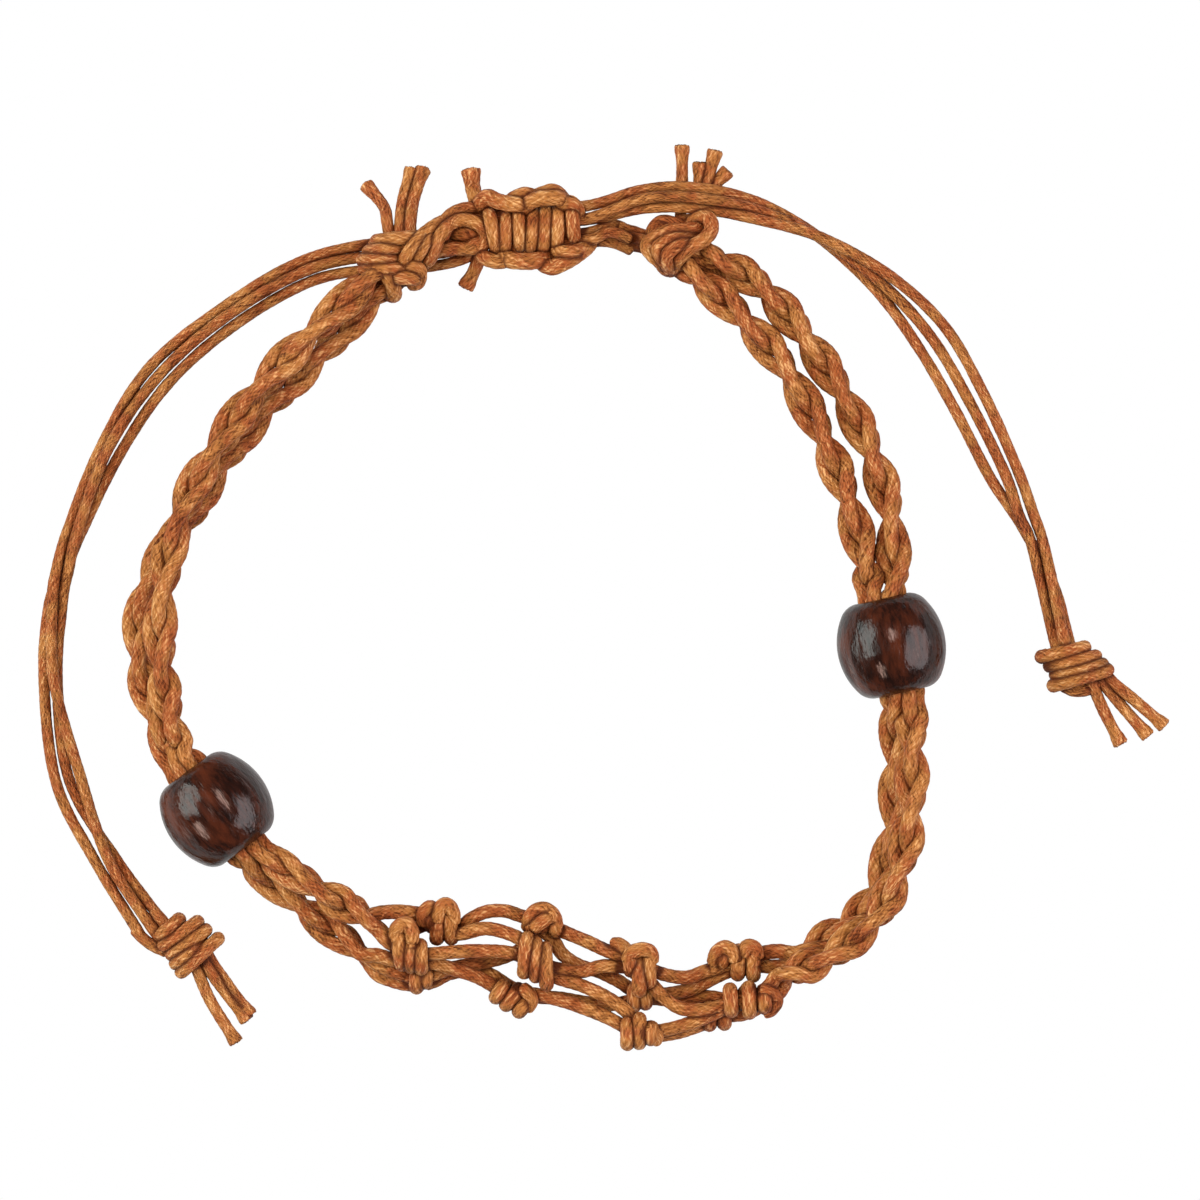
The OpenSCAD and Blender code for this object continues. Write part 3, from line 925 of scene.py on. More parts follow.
@dataclass
class Workshop:
    """Holds every cord with its finish, and turns them into pieces of the scene."""

    crowd: Crowd = field(default_factory=Crowd)
    # Each planned piece: name, cords, material, slot and the nodes that it stands for
    waiting: list[tuple] = field(default_factory=list)
    made: dict[str, bpy.types.Object] = field(default_factory=dict)

    # What a cord's vertices keep for its finish
    LAYERS = ("run", "crevice", "tone")

    def plan(self, name: str, cords: list[Cord], finish: bpy.types.Material, slot: str, *nodes: str) -> None:
        """Notes a piece to make of cords, once the place of every cord is known.

        Args:
            name: The piece's name.
            cords: Its runs of cord.
            finish: Its material.
            slot: The record's material slot.
            nodes: The CAD nodes that it stands for.
        """
        for cord in cords:
            self.crowd.add(cord)
        self.waiting.append((name, cords, finish, slot, nodes))

    def make_all(self) -> None:
        """Makes every planned piece."""
        self.crowd.settle()
        for name, cords, finish, slot, nodes in self.waiting:
            self.dress(self.cord_piece(name, cords), finish, slot, *nodes)

    def dress(self, piece: bpy.types.Object, finish: bpy.types.Material, slot: str, *nodes: str) -> None:
        """Gives a piece its material and body, and hides the CAD nodes that it stands for.

        Args:
            piece: The piece.
            finish: Its material.
            slot: The record's material slot; not used.
            nodes: The CAD nodes that it stands for.
        """
        piece.data.materials.append(finish)
        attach(piece, "root" if "root" in frame["bodies"] else next(iter(frame["bodies"])))
        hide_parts(*nodes)
        self.made[piece.name] = piece
        log.info("%s: %d faces, stands for %s", piece.name, len(piece.data.polygons), ", ".join(nodes))

    def cord_piece(self, name: str, cords: list[Cord]) -> bpy.types.Object:
        """Makes one object of several runs of cord and the yarns at their cut ends.

        Args:
            name: The piece's name.
            cords: Its runs of cord.

        Returns:
            The object.
        """
        form = bmesh.new()
        form.loops.layers.uv.new("cord")
        for label in self.LAYERS:
            form.verts.layers.float.new(label)
        seams: list[bmesh.types.BMVert] = []
        for cord in cords:
            seams += self.add_tube(form, cord, True)
            for yarn in cord.yarn_ends():
                seams += self.add_tube(form, yarn, False)
        bmesh.ops.remove_doubles(form, verts=seams, dist=WELD * MM)
        bmesh.ops.recalc_face_normals(form, faces=form.faces)
        return smooth_object(name, form)

    def add_tube(self, form: bmesh.types.BMesh, cord: Cord, crowded: bool) -> list[bmesh.types.BMVert]:
        """Wraps a grid round a cord's line.

        Args:
            form: The piece's mesh in the making.
            cord: The run of cord.
            crowded: Whether to look for cords beside it.

        Returns:
            The vertices of its seam and ends, to be welded.
        """
        rings = cord.surface()
        # How deep each point lies between cords, which sets the painted shade of its crevices
        crevice = self.crowd.crevice(cord, rings) if crowded else np.zeros(rings.shape[:2])
        count, width = rings.shape[:2]
        verts = bmesh.ops.create_grid(form, x_segments=width - 1, y_segments=count - 1, size=1.0,
                                      calc_uvs=True)["verts"]
        run, between, tone = (form.verts.layers.float[label] for label in self.LAYERS)
        length = cord.length
        for vert, place, depth in zip(verts, (rings * MM).reshape(-1, 3).tolist(), crevice.flat):
            vert.co = place
            vert[run] = length
            vert[between] = depth
            vert[tone] = cord.tone
        inner = verts[width:-width]
        return verts[:width] + verts[-width:] + inner[::width] + inner[width - 1::width]


@dataclass(frozen=True)
class BeadPlace:
    """Where the bead of an arm lies, and the direction of its hole towards the net."""

    arm: str
    middle: tuple[float, float, float]
    way: tuple[float, float, float]
    length: float = 7.2

    @property
    def turn(self) -> float:
        """Angle of the hole from +X in radians."""
        return math.atan2(self.way[1], self.way[0])

    def mouth(self, end: int, shift: float) -> Points:
        """A braid's middle at one end of the hole: end -1 is the upper one."""
        way = np.array(self.way)
        return np.array(self.middle) + end * self.length / 2 * way + shift * lateral(way)


LEFT_BEAD = BeadPlace("left", (-23.7, -15.9, 4.05), (0.6, -0.8, 0.0))
RIGHT_BEAD = BeadPlace("right", (26.6, -3.7, 4.05), (0.22, -0.9755, 0.0))
# Tool marks on each bead; columns: place along the hole, angle from the top in degrees, length, width, depth
TOOL_MARKS = {
    "left": [[-0.4, 14, 2.4, 0.7, 0.2], [-0.2, -4, 1.4, 0.5, 0.12], [0.6, -26, 1.9, 1.0, 0.2],
             [0.3, -46, 2.3, 1.3, 0.1], [0.6, 3, 1.2, 0.5, 0.08]],
    "right": [[-0.8, 2, 1.3, 1.2, 0.16], [1.6, -19, 1.5, 1.0, 0.18], [0.5, 25, 2.8, 1.2, 0.1],
              [0.9, -62, 2.2, 1.2, 0.12], [0.3, -40, 2.6, 1.3, 0.08]],
}


@dataclass
class Braid:
    """A flat three-strand braid from its gather knot, through its bead, to the net.

    Points of its middle line are pinches, where its strands cross, except for those nearest to the bead.
    """

    bead: BeadPlace
    # 1 for the upper braid of an arm, -1 for the lower one
    side: int
    # Hidden start in the gather knot, then the line down to the bead, then the line down to the net
    lead: list[Row]
    above: list[Row]
    below: list[Row]
    # The way of each strand from the last pinch into its knot; columns: pixels right and down, height
    ends: list[list[Row]]
    # Points nearest to the bead on each stretch that are no pinches
    free_above: int
    free_below: int
    # Lobes that the braid still makes between the last pinch and the bead, on each stretch
    near_above: int
    near_below: int
    # Added to the count of lobes below the bead, so that each strand still ends in its own knot
    count_below: int = 0
    tones: tuple[float, float, float] = (0.45, 0.65, 0.5)
    # Distance of the braid's middle from the hole's
    shift: float = 0.7
    # Length over which the strands gather into the hole
    gather: float = 2.2
    fineness: int = 20
    diameter: float = 0.93
    wide: float = 1.19
    # Share of its width that the braid has at its start, and that it loses on its way to the bead
    first_width: float = 0.45
    narrowing: float = 0.22

    # How far a strand moves sideways and up from the braid's middle line, a row for each quarter of a
    # lobe; columns: sideways, up
    WEAVE = np.array([
        [0, 1], [-0.12, 0.92], [0.04, 0.1], [0.6, -0.75],
        [0.08, -1], [-0.6, -0.72], [-0.8, -0.3], [-0.59, -0.05],
        [0, 0], [0.62, 0.1], [0.8, 0.45], [0.34, 0.88],
    ])
    QUARTERS = 4
    # A strand's place in the hole, by the lobe at which it enters; columns: sideways, up
    HOLE_PLACES = np.array([[0.45, 1.0], [0.45, -1.0], [1.2, 0.0]])
    # Step along the line over which its direction is read
    LOOK = 0.02

    @property
    def nodes(self) -> list[str]:
        """The CAD nodes of its strands."""
        first = 1 if self.side > 0 else 1 + STRANDS
        return [f"{self.bead.arm}_strand_{first + number}" for number in range(STRANDS)]

    def weave(self, phase: Points) -> Points:
        """Finds a strand's place in the braid.

        Args:
            phase: Phases counted in lobes.

        Returns:
            How far sideways and up it lies at each phase.
        """
        quarters = phase * self.QUARTERS
        first = np.floor(quarters).astype(int)
        a, b, c, d = (self.WEAVE[(first + step) % len(self.WEAVE)] for step in (-1, 0, 1, 2))
        return curve_at(a, b, c, d, (quarters - first)[:, None])

    def stretch(self, route: Points, phase: Points, width: Points, in_hole: Points, hole: Points) -> Points:
        """A strand along one stretch of the braid.

        Args:
            route: Points of the braid's middle line.
            phase: Phase of the strand at each place along it.
            width: Width of the braid at each place, as a share of the full one.
            in_hole: Share of the way to its place in the hole, at each place.
            hole: From the braid's middle to the strand in the hole.

        Returns:
            The strand's line.
        """
        where, last = places_on(route, self.fineness), len(route) - 1
        ahead = route_at(route, np.minimum(where + self.LOOK, last))
        across = lateral(ahead - route_at(route, np.maximum(where - self.LOOK, 0)))
        off = self.weave(phase)
        free = across * off[:, :1] * width[:, None] + UP * off[:, 1:]
        return route_at(route, where) + (1 - in_hole)[:, None] * free + in_hole[:, None] * hole

    def in_hole(self, lobe: int) -> Points:
        """From the braid's middle to a strand in the hole, for a strand that has made so many lobes."""
        sideways, up = self.HOLE_PLACES[lobe % STRANDS]
        return self.side * lateral(np.array(self.bead.way)) * (sideways - self.shift) + UP * up

    def part_to_bead(self, route: Points, pinch: int) -> tuple[Points, Points]:
        """How a braid that runs to a bead weaves on and then gathers.

        Args:
            route: Points of the braid's middle line, the last at the bead.
            pinch: The last pinch.

        Returns:
            Share of the way from the last pinch and share of the way into the hole, at each place.
        """
        where = places_on(route, self.fineness)
        along = distances(route_at(route, where))
        start = np.interp(pinch, where, along)
        past = np.clip((along - start) / (along[-1] - start), 0, 1)
        return past, ease(1 - (along[-1] - along) / self.gather)

    def strand(self, number: int) -> Points:
        """Lays a strand all the way from its gather knot to its knot of the net.

        Args:
            number: The strand, from 0 to 2.

        Returns:
            Its line.
        """
        lead = len(self.lead)
        lobes = len(self.above) - 1 - self.free_above
        route = np.vstack([*self.lead, self.above, self.bead.mouth(-1, self.side * self.shift)])
        where = places_on(route, self.fineness)
        past, share = self.part_to_bead(route, lobes + lead)
        phase = np.minimum(where - lead, lobes) + self.near_above * past + number
        width = self.first_width + (1 - self.first_width) * np.minimum(where / lead, 1.0) ** 3
        upper = self.stretch(route, phase, width - self.narrowing * past, share,
                             self.in_hole(lobes + self.near_above + number))

        route = np.vstack([self.bead.mouth(1, self.side * self.shift), self.below])
        where = places_on(route, self.fineness)
        free = 1 + self.free_below
        past, share = (values[::-1] for values in self.part_to_bead(route[::-1], len(route) - 1 - free))
        lobes += self.count_below
        phase = lobes + np.maximum(0, where - free) - self.near_below * past + number
        lower = self.stretch(route, phase, 1 - self.narrowing * past, share,
                             self.in_hole(lobes - self.near_below + number))

        last = [lower[-self.fineness // 2], lower[-1], *(on_photo(*row) for row in self.ends[number])]
        return np.vstack([upper, lower, smooth_route(last, self.fineness)[self.fineness + 1:]])

    def plan(self, finish: bpy.types.Material, workshop: Workshop) -> None:
        """Plans the braid's strands, each standing for its CAD node.

        Args:
            finish: Their material.
            workshop: Takes the pieces.
        """
        for number, node in enumerate(self.nodes):
            cord = Cord(self.strand(number), diameter=self.diameter, wide=self.wide,
                        tone=self.tones[number], seed=sum(map(ord, node)))
            workshop.plan(node + "_cord", [cord], finish, "braid_cord", node)


def make_braids() -> list[Braid]:
    """The four braids.

    Returns:
        The upper and the lower braid of the left arm, then of the right one.
    """
    left_upper = Braid(
        LEFT_BEAD, 1,
        lead=[[-9.6, 26.2, 2.6]],
        above=[[-12.2, 23.8, 3.6], [-16.6, 19.6, 4.6], [-20.5, 15.5, 4.7], [-23.9, 10.8, 4.7],
               [-26.4, 6, 4.7], [-27.7, 0.4, 4.7], [-27.8, -5.2, 4.7], [-26.7, -10.7, 4.4]],
        below=[[-19.5, -19.7, 4.5], [-16.1, -21.9, 4.6], [-12.75, -23.9, 3.9]],
        ends=[
            [[384, 911, 3.2], [404, 911, 2.5], [424, 914, 2.2], [440, 920, 1.8]],
            [[378, 927, 4.3], [388, 938, 4.2], [399, 945, 3.9], [410, 949, 3.7]],
            [[378, 926, 2.2], [391, 936, 2.2], [408, 932, 1.8], [424, 924, 1.3], [440, 925, 1.4]],
        ],
        free_above=1, free_below=1, near_above=2, near_below=1, count_below=1,
    )
    left_lower = Braid(
        LEFT_BEAD, -1,
        lead=[[-9.4, 24.6, 1.9]],
        above=[[-12, 22.4, 1.6], [-16.1, 18.1, 1.55], [-20, 14.2, 1.55], [-23.5, 9.9, 1.55],
               [-26.2, 5.4, 1.55], [-28.95, 0.9, 1.55], [-29.6, -4.6, 1.6], [-27.85, -10.4, 3.4]],
        below=[[-19.6, -21.5, 2.2], [-17.5, -23.2, 1.6], [-13.2, -26.6, 1.55]],
        ends=[
            [[378, 963, 1.9], [394, 970, 1.9], [410, 975, 1.8], [424, 980, 1.7]],
            [[378, 954, 2.6], [394, 958, 3.0], [410, 960, 3.2]],
            [[376, 972, 0.9], [390, 979, 0.8], [406, 983, 1.0], [424, 984, 1.3]],
        ],
        free_above=1, free_below=1, near_above=2, near_below=1, count_below=1,
    )
    right_upper = Braid(
        RIGHT_BEAD, 1,
        lead=[[10.9, 26.4, 1.9]],
        above=[[13.9, 25, 2], [17.3, 22.8, 1.55], [20.2, 19.3, 1.55], [23, 15.1, 1.55], [25.2, 10.6, 1.55],
               [26.6, 5.9, 2], [26.8, 0.6, 4.1]],
        below=[[28.1, -9.2, 4.6], [28.1, -11.4, 4.7], [28, -16.1, 4.7], [27.1, -20.6, 4.7],
               [25.2, -24.2, 4.7], [21.9, -26.9, 4.4], [18.9, -28.1, 3.9]],
        ends=[
            [[783, 984, 2.9], [776, 993, 3.0], [764, 998, 3.2], [752, 1000, 3.3]],
            [[776, 974, 3.8], [768, 984, 3.9], [758, 992, 3.7]],
            [[778, 986, 2.0], [764, 1002, 1.6], [746, 1012, 1.6], [728, 1014, 1.6]],
        ],
        free_above=0, free_below=1, near_above=0, near_below=1,
    )
    right_lower = Braid(
        RIGHT_BEAD, -1,
        lead=[[9.9, 25.4, 1.6]],
        above=[[12.2, 23.8, 1.8], [15.7, 20.6, 1.55], [19, 16.6, 1.55], [21.6, 11.7, 1.55], [23.4, 7.2, 1.6],
               [24.7, 2.3, 3.4]],
        below=[[26.9, -9.6, 3], [27, -12.6, 1.6], [26.85, -17.4, 1.55], [25.6, -22.1, 1.55],
               [23.3, -24.7, 1.55], [20.5, -26.4, 1.55]],
        ends=[
            [[794, 952, 2.3], [778, 950, 2.5], [762, 952, 2.2], [746, 957, 1.9]],
            [[790, 972, 0.6], [776, 986, 0.6], [758, 1002, 0.6], [738, 1011, 1.0]],
            [[792, 962, 1.3], [776, 966, 1.5], [762, 965, 1.3], [746, 964, 1.4]],
        ],
        free_above=0, free_below=1, near_above=1, near_below=1,
    )
    return [left_upper, left_lower, right_upper, right_lower]


@dataclass
class Coil:
    """A cord wound in turns round what a knot holds, each turn seen from above as a bar.

    Bars are rows of photograph pixels: right and down of the bar's first end, then of its last.
    """

    bars: list[Row]
    height: float
    rise: float

    # Degrees that the cord goes on beyond its first and last bar, and degrees from point to point
    TUCK = 55.0
    STEP = 12.0

    def line(self) -> Points:
        """Winds the cord over the top along each bar, and underneath to the next.

        Returns:
            The cord's line.
        """
        last_bar = len(self.bars) - 1
        first = np.array([on_photo(right, down, self.height) for right, down, _, _ in self.bars])
        last = np.array([on_photo(right, down, self.height) for _, _, right, down in self.bars])
        middles, halves = (first + last) / 2, (last - first) / 2
        reach = np.linalg.norm(halves, axis=1, keepdims=True)
        halves = halves * (reach - CORD_D / 2) / reach
        turns = np.arange(-self.TUCK, 360 * last_bar + 180 + self.TUCK, self.STEP)
        bar = np.clip(turns // 360, 0, last_bar).astype(int)
        follow = np.minimum(bar + 1, last_bar)
        share = np.where(turns < 0, 0.0, ease((turns - 360 * bar - 180) / 180))[:, None]
        middle = middles[bar] * (1 - share) + middles[follow] * share
        half = halves[bar] * (1 - share) + halves[follow] * share
        angle = np.radians(turns)[:, None]
        return middle - half * np.cos(angle) + UP * self.rise * np.sin(angle)


@dataclass
class Net:
    """The knotted net between the beads: six cords and twelve knots."""

    diameter: float = 0.98
    wrap_diameter: float = 1.06
    wrap_rise: float = 1.12
    wrap_tone: float = 0.66
    # Diameter of the dark core in a knot's turns, as a share of their width, and its reach to each side
    core_share: float = 0.56
    core_reach: float = 0.9
    # Tone of the core, dark as painted shade seen between the turns
    core_shade_tone: float = 0.2

    # First seeds of the cords, the wraps and the cores, and the step from one knot's wraps to the next
    CORD_SEED, WRAP_SEED, CORE_SEED, WRAP_STEP = 40, 60, 160, 7
    # The six cords, knot by knot; columns: photograph pixels right and down, and height in millimetres
    CORDS = [
        [[440, 926, 1.5], [458, 930, 1.5], [470, 919, 1.9], [486, 911, 2.2], [505, 910, 2.1],
         [521, 915, 1.9], [544, 922, 1.7], [562, 930, 2.0], [587, 940, 2.9], [610, 950, 3.7],
         [638, 958, 3.9], [656, 970, 3.6], [684, 976, 2.9], [705, 970, 2.2], [738, 961, 1.7]],
        [[438, 928, 2.0], [458, 933, 2.6], [486, 927, 3.2], [512, 933, 3.6], [526, 942, 3.7],
         [537, 957, 3.6], [553, 966, 3.4], [580, 970, 3.1], [605, 964, 3.5], [636, 968, 3.6],
         [652, 983, 3.6], [663, 995, 3.5], [680, 1006, 3.6], [702, 1008, 3.6], [722, 1004, 3.6],
         [748, 998, 3.6]],
        [[412, 950, 3.6], [430, 952, 3.9], [455, 950, 4.0], [480, 949, 4.0], [505, 950, 3.9],
         [521, 954, 3.8], [537, 964, 3.6], [555, 975, 3.3], [580, 983, 3.3], [606, 995, 3.5],
         [626, 1009, 3.8], [640, 1026, 3.9], [656, 1029, 3.7], [684, 1023, 3.3], [708, 1014, 3.3],
         [728, 1005, 3.5], [748, 1000, 3.4]],
        [[410, 956, 3.3], [432, 961, 3.0], [458, 969, 2.5], [480, 977, 2.2], [497, 987, 1.9],
         [512, 996, 1.7], [534, 993, 2.0], [568, 1001, 2.6], [602, 1013, 3.4], [622, 1023, 3.8],
         [640, 1032, 3.7], [656, 1034, 3.2], [684, 1029, 2.4], [708, 1021, 1.9], [724, 1015, 1.7]],
        [[424, 984, 1.5], [436, 980, 1.1], [450, 973, 0.9], [470, 970, 0.8], [490, 974, 0.9],
         [510, 986, 1.2], [530, 995, 1.3], [562, 998, 1.2], [600, 1004, 1.3], [622, 1002, 1.5],
         [640, 997, 1.6], [658, 998, 1.2], [677, 1000, 0.9], [700, 996, 1.1], [720, 998, 1.4],
         [732, 1007, 1.6]],
        [[424, 978, 1.7], [438, 972, 1.8], [458, 966, 1.6], [496, 959, 1.3], [522, 948, 1.2],
         [538, 930, 1.5], [553, 939, 1.3], [562, 953, 1.4], [580, 965, 1.5], [600, 971, 1.4],
         [618, 980, 1.3], [640, 993, 1.5], [666, 993, 1.5], [692, 988, 1.5], [712, 978, 1.5],
         [738, 966, 1.5]],
    ]
    # The bars of each knot, in photograph pixels: right and down of a bar's upper end, then of its lower
    BARS = [
        [[397, 921, 404, 968], [410, 933, 412, 970], [421, 938, 422, 972]],
        [[429, 904, 433, 931], [438, 911, 437, 943], [450, 903, 452, 943]],
        [[417, 963, 417, 992], [427, 967, 425, 987]],
        [[507, 980, 493, 1001], [522, 984, 503, 1008], [529, 997, 516, 1015]],
        [[531, 911, 531, 935], [543, 908, 544, 932], [554, 912, 556, 936]],
        [[528, 931, 524, 976], [536, 936, 536, 980], [545, 941, 547, 988]],
        [[629, 946, 631, 974], [639, 949, 639, 994], [648, 947, 649, 985]],
        [[628, 1015, 627, 1047], [639, 1011, 639, 1046], [652, 1020, 650, 1042]],
        [[725, 943, 721, 968], [739, 944, 737, 979], [752, 942, 753, 980]],
        [[729, 982, 731, 1014], [748, 980, 749, 1016], [763, 986, 764, 1011]],
        [[709, 1001, 709, 1029], [724, 998, 724, 1028]],
        [[634, 983, 634, 1010], [646, 983, 645, 1008]],
    ]
    # The middle of each knot; columns: height, heading in degrees
    CORES = [
        [3.6, -8], [1.7, 0], [1.65, 5], [1.65, -15], [1.65, -20], [3.6, -5], [3.9, 0], [3.9, 10], [1.7, 8],
        [3.6, 12], [1.65, 12], [1.62, 0],
    ]
    # Loops laid over the bars, by knot: photograph pixels right and down, and height in millimetres
    LOOPS = {
        1: [[[396, 938, 4.4], [399, 926, 4.8], [407, 921, 5.0], [413, 929, 4.9], [413, 942, 4.6]]],
        2: [[[425, 925, 2.4], [425, 912, 2.9], [431, 906, 3.0], [438, 911, 2.7]],
            [[437, 922, 2.9], [440, 908, 3.2], [447, 903, 3.2], [453, 910, 3.0], [454, 924, 2.7]]],
        4: [[[520, 986, 2.6], [528, 991, 2.8], [531, 1000, 2.6], [525, 1009, 2.3]]],
        5: [[[528, 930, 2.4], [530, 917, 2.9], [537, 909, 3.1], [546, 908, 3.1], [554, 915, 3.0],
             [557, 928, 2.6]],
            [[532, 928, 3.0], [542, 920, 3.4], [552, 914, 3.1]]],
        7: [[[627, 961, 4.9], [631, 951, 5.2], [641, 947, 5.2], [650, 950, 5.0], [651, 962, 4.7]],
            [[611, 944, 3.5], [619, 943, 3.8], [628, 950, 4.1]]],
        8: [[[645, 1030, 4.9], [651, 1029, 4.9], [656, 1034, 4.5], [652, 1040, 4.1]]],
        9: [[[713, 964, 2.2], [716, 952, 2.8], [724, 946, 3.1], [733, 951, 3.1], [736, 962, 3.0]],
            [[741, 956, 2.9], [746, 945, 3.1], [754, 947, 3.0], [757, 959, 2.8]]],
        10: [[[758, 989, 4.4], [768, 990, 4.4], [775, 998, 3.9], [770, 1007, 3.7], [761, 1010, 3.6]]],
    }

    def plan(self, finish: bpy.types.Material, workshop: Workshop) -> None:
        """Plans the cords and knots, each standing for its CAD node.

        Args:
            finish: Their material.
            workshop: Takes the pieces.
        """
        for number, rows in enumerate(self.CORDS, 1):
            cord = Cord(photo_route(rows), diameter=self.diameter, seed=self.CORD_SEED + number)
            workshop.plan(f"net_cord_{number}", [cord], finish, "net_cord", f"net_strand_{number}")
        for number, (bars, (height, angle)) in enumerate(zip(self.BARS, self.CORES), 1):
            lines = [Coil(bars, height, self.wrap_rise).line()]
            lines += [photo_route(loop) for loop in self.LOOPS.get(number, [])]
            first = self.WRAP_SEED + self.WRAP_STEP * number
            cords = [Cord(line, diameter=self.wrap_diameter, tone=self.wrap_tone, seed=seed)
                     for seed, line in enumerate(lines, first)]
            cords.append(self.core(number, np.array(bars, float), height, angle))
            workshop.plan(f"net_knot_{number}_wrap", cords, finish, "net_cord", f"net_knot_{number}")

    def core(self, number: int, bars: Points, height: float, angle: float) -> Cord:
        """Fills a knot's turns with a dark core, which stands for what they hold and whose dark tone is
        painted shade between the turns.

        Args:
            number: The knot, from 1 to 12.
            bars: Its bars.
            height: Height of its middle.
            angle: Its heading in degrees.

        Returns:
            A short thick cord.
        """
        right, down = (bars[:, :2] + bars[:, 2:]).mean(axis=0) / 2
        middle = np.array(on_photo(right, down, height))
        size = np.linalg.norm(bars[:, 2:] - bars[:, :2], axis=1).mean() * MM_PER_PIXEL * self.core_share
        ends = [middle + reach * heading(angle) for reach in (-self.core_reach, 0.0, self.core_reach)]
        return Cord(np.array(ends), diameter=size, tone=self.core_shade_tone, seed=self.CORE_SEED + number)


@dataclass
class Run:
    """A cord laid in a knot: photograph pixels right and down, and a height in millimetres."""

    rows: list[Row]
    diameter: float = 0.98
    tone: float = 0.62
    far_end: End = End.TUCKED


@dataclass
class Knot:
    """A gather, sliding or stopper knot: coils, and runs of cord laid one by one."""

    node: str
    runs: list[Run]
    coils: list[Coil] = field(default_factory=list)
    diameter: float = 1.0
    coil_tone: float = 0.75

    # Added to the knot's own seed for its first run
    RUN_SEED = 20

    @property
    def name(self) -> str:
        """Name of the knot's piece."""
        return f"{self.node}_cords"

    def plan(self, finish: bpy.types.Material, workshop: Workshop) -> None:
        """Plans the knot as one piece that stands for its CAD node.

        Args:
            finish: Its material.
            workshop: Takes the piece.
        """
        seed = sum(map(ord, self.name))
        cords = [Cord(coil.line(), diameter=self.diameter, tone=self.coil_tone, seed=seed + number)
                 for number, coil in enumerate(self.coils)]
        cords += [Cord(photo_route(run.rows), diameter=run.diameter, far_end=run.far_end, tone=run.tone,
                       seed=seed + number) for number, run in enumerate(self.runs, self.RUN_SEED)]
        workshop.plan(self.name, cords, finish, "knot_cord", self.node)


def cut_end(rows: list[Row], diameter: float = CORD_D) -> Run:
    """A run that ends in a cut."""
    return Run(rows, diameter, far_end=End.CUT)


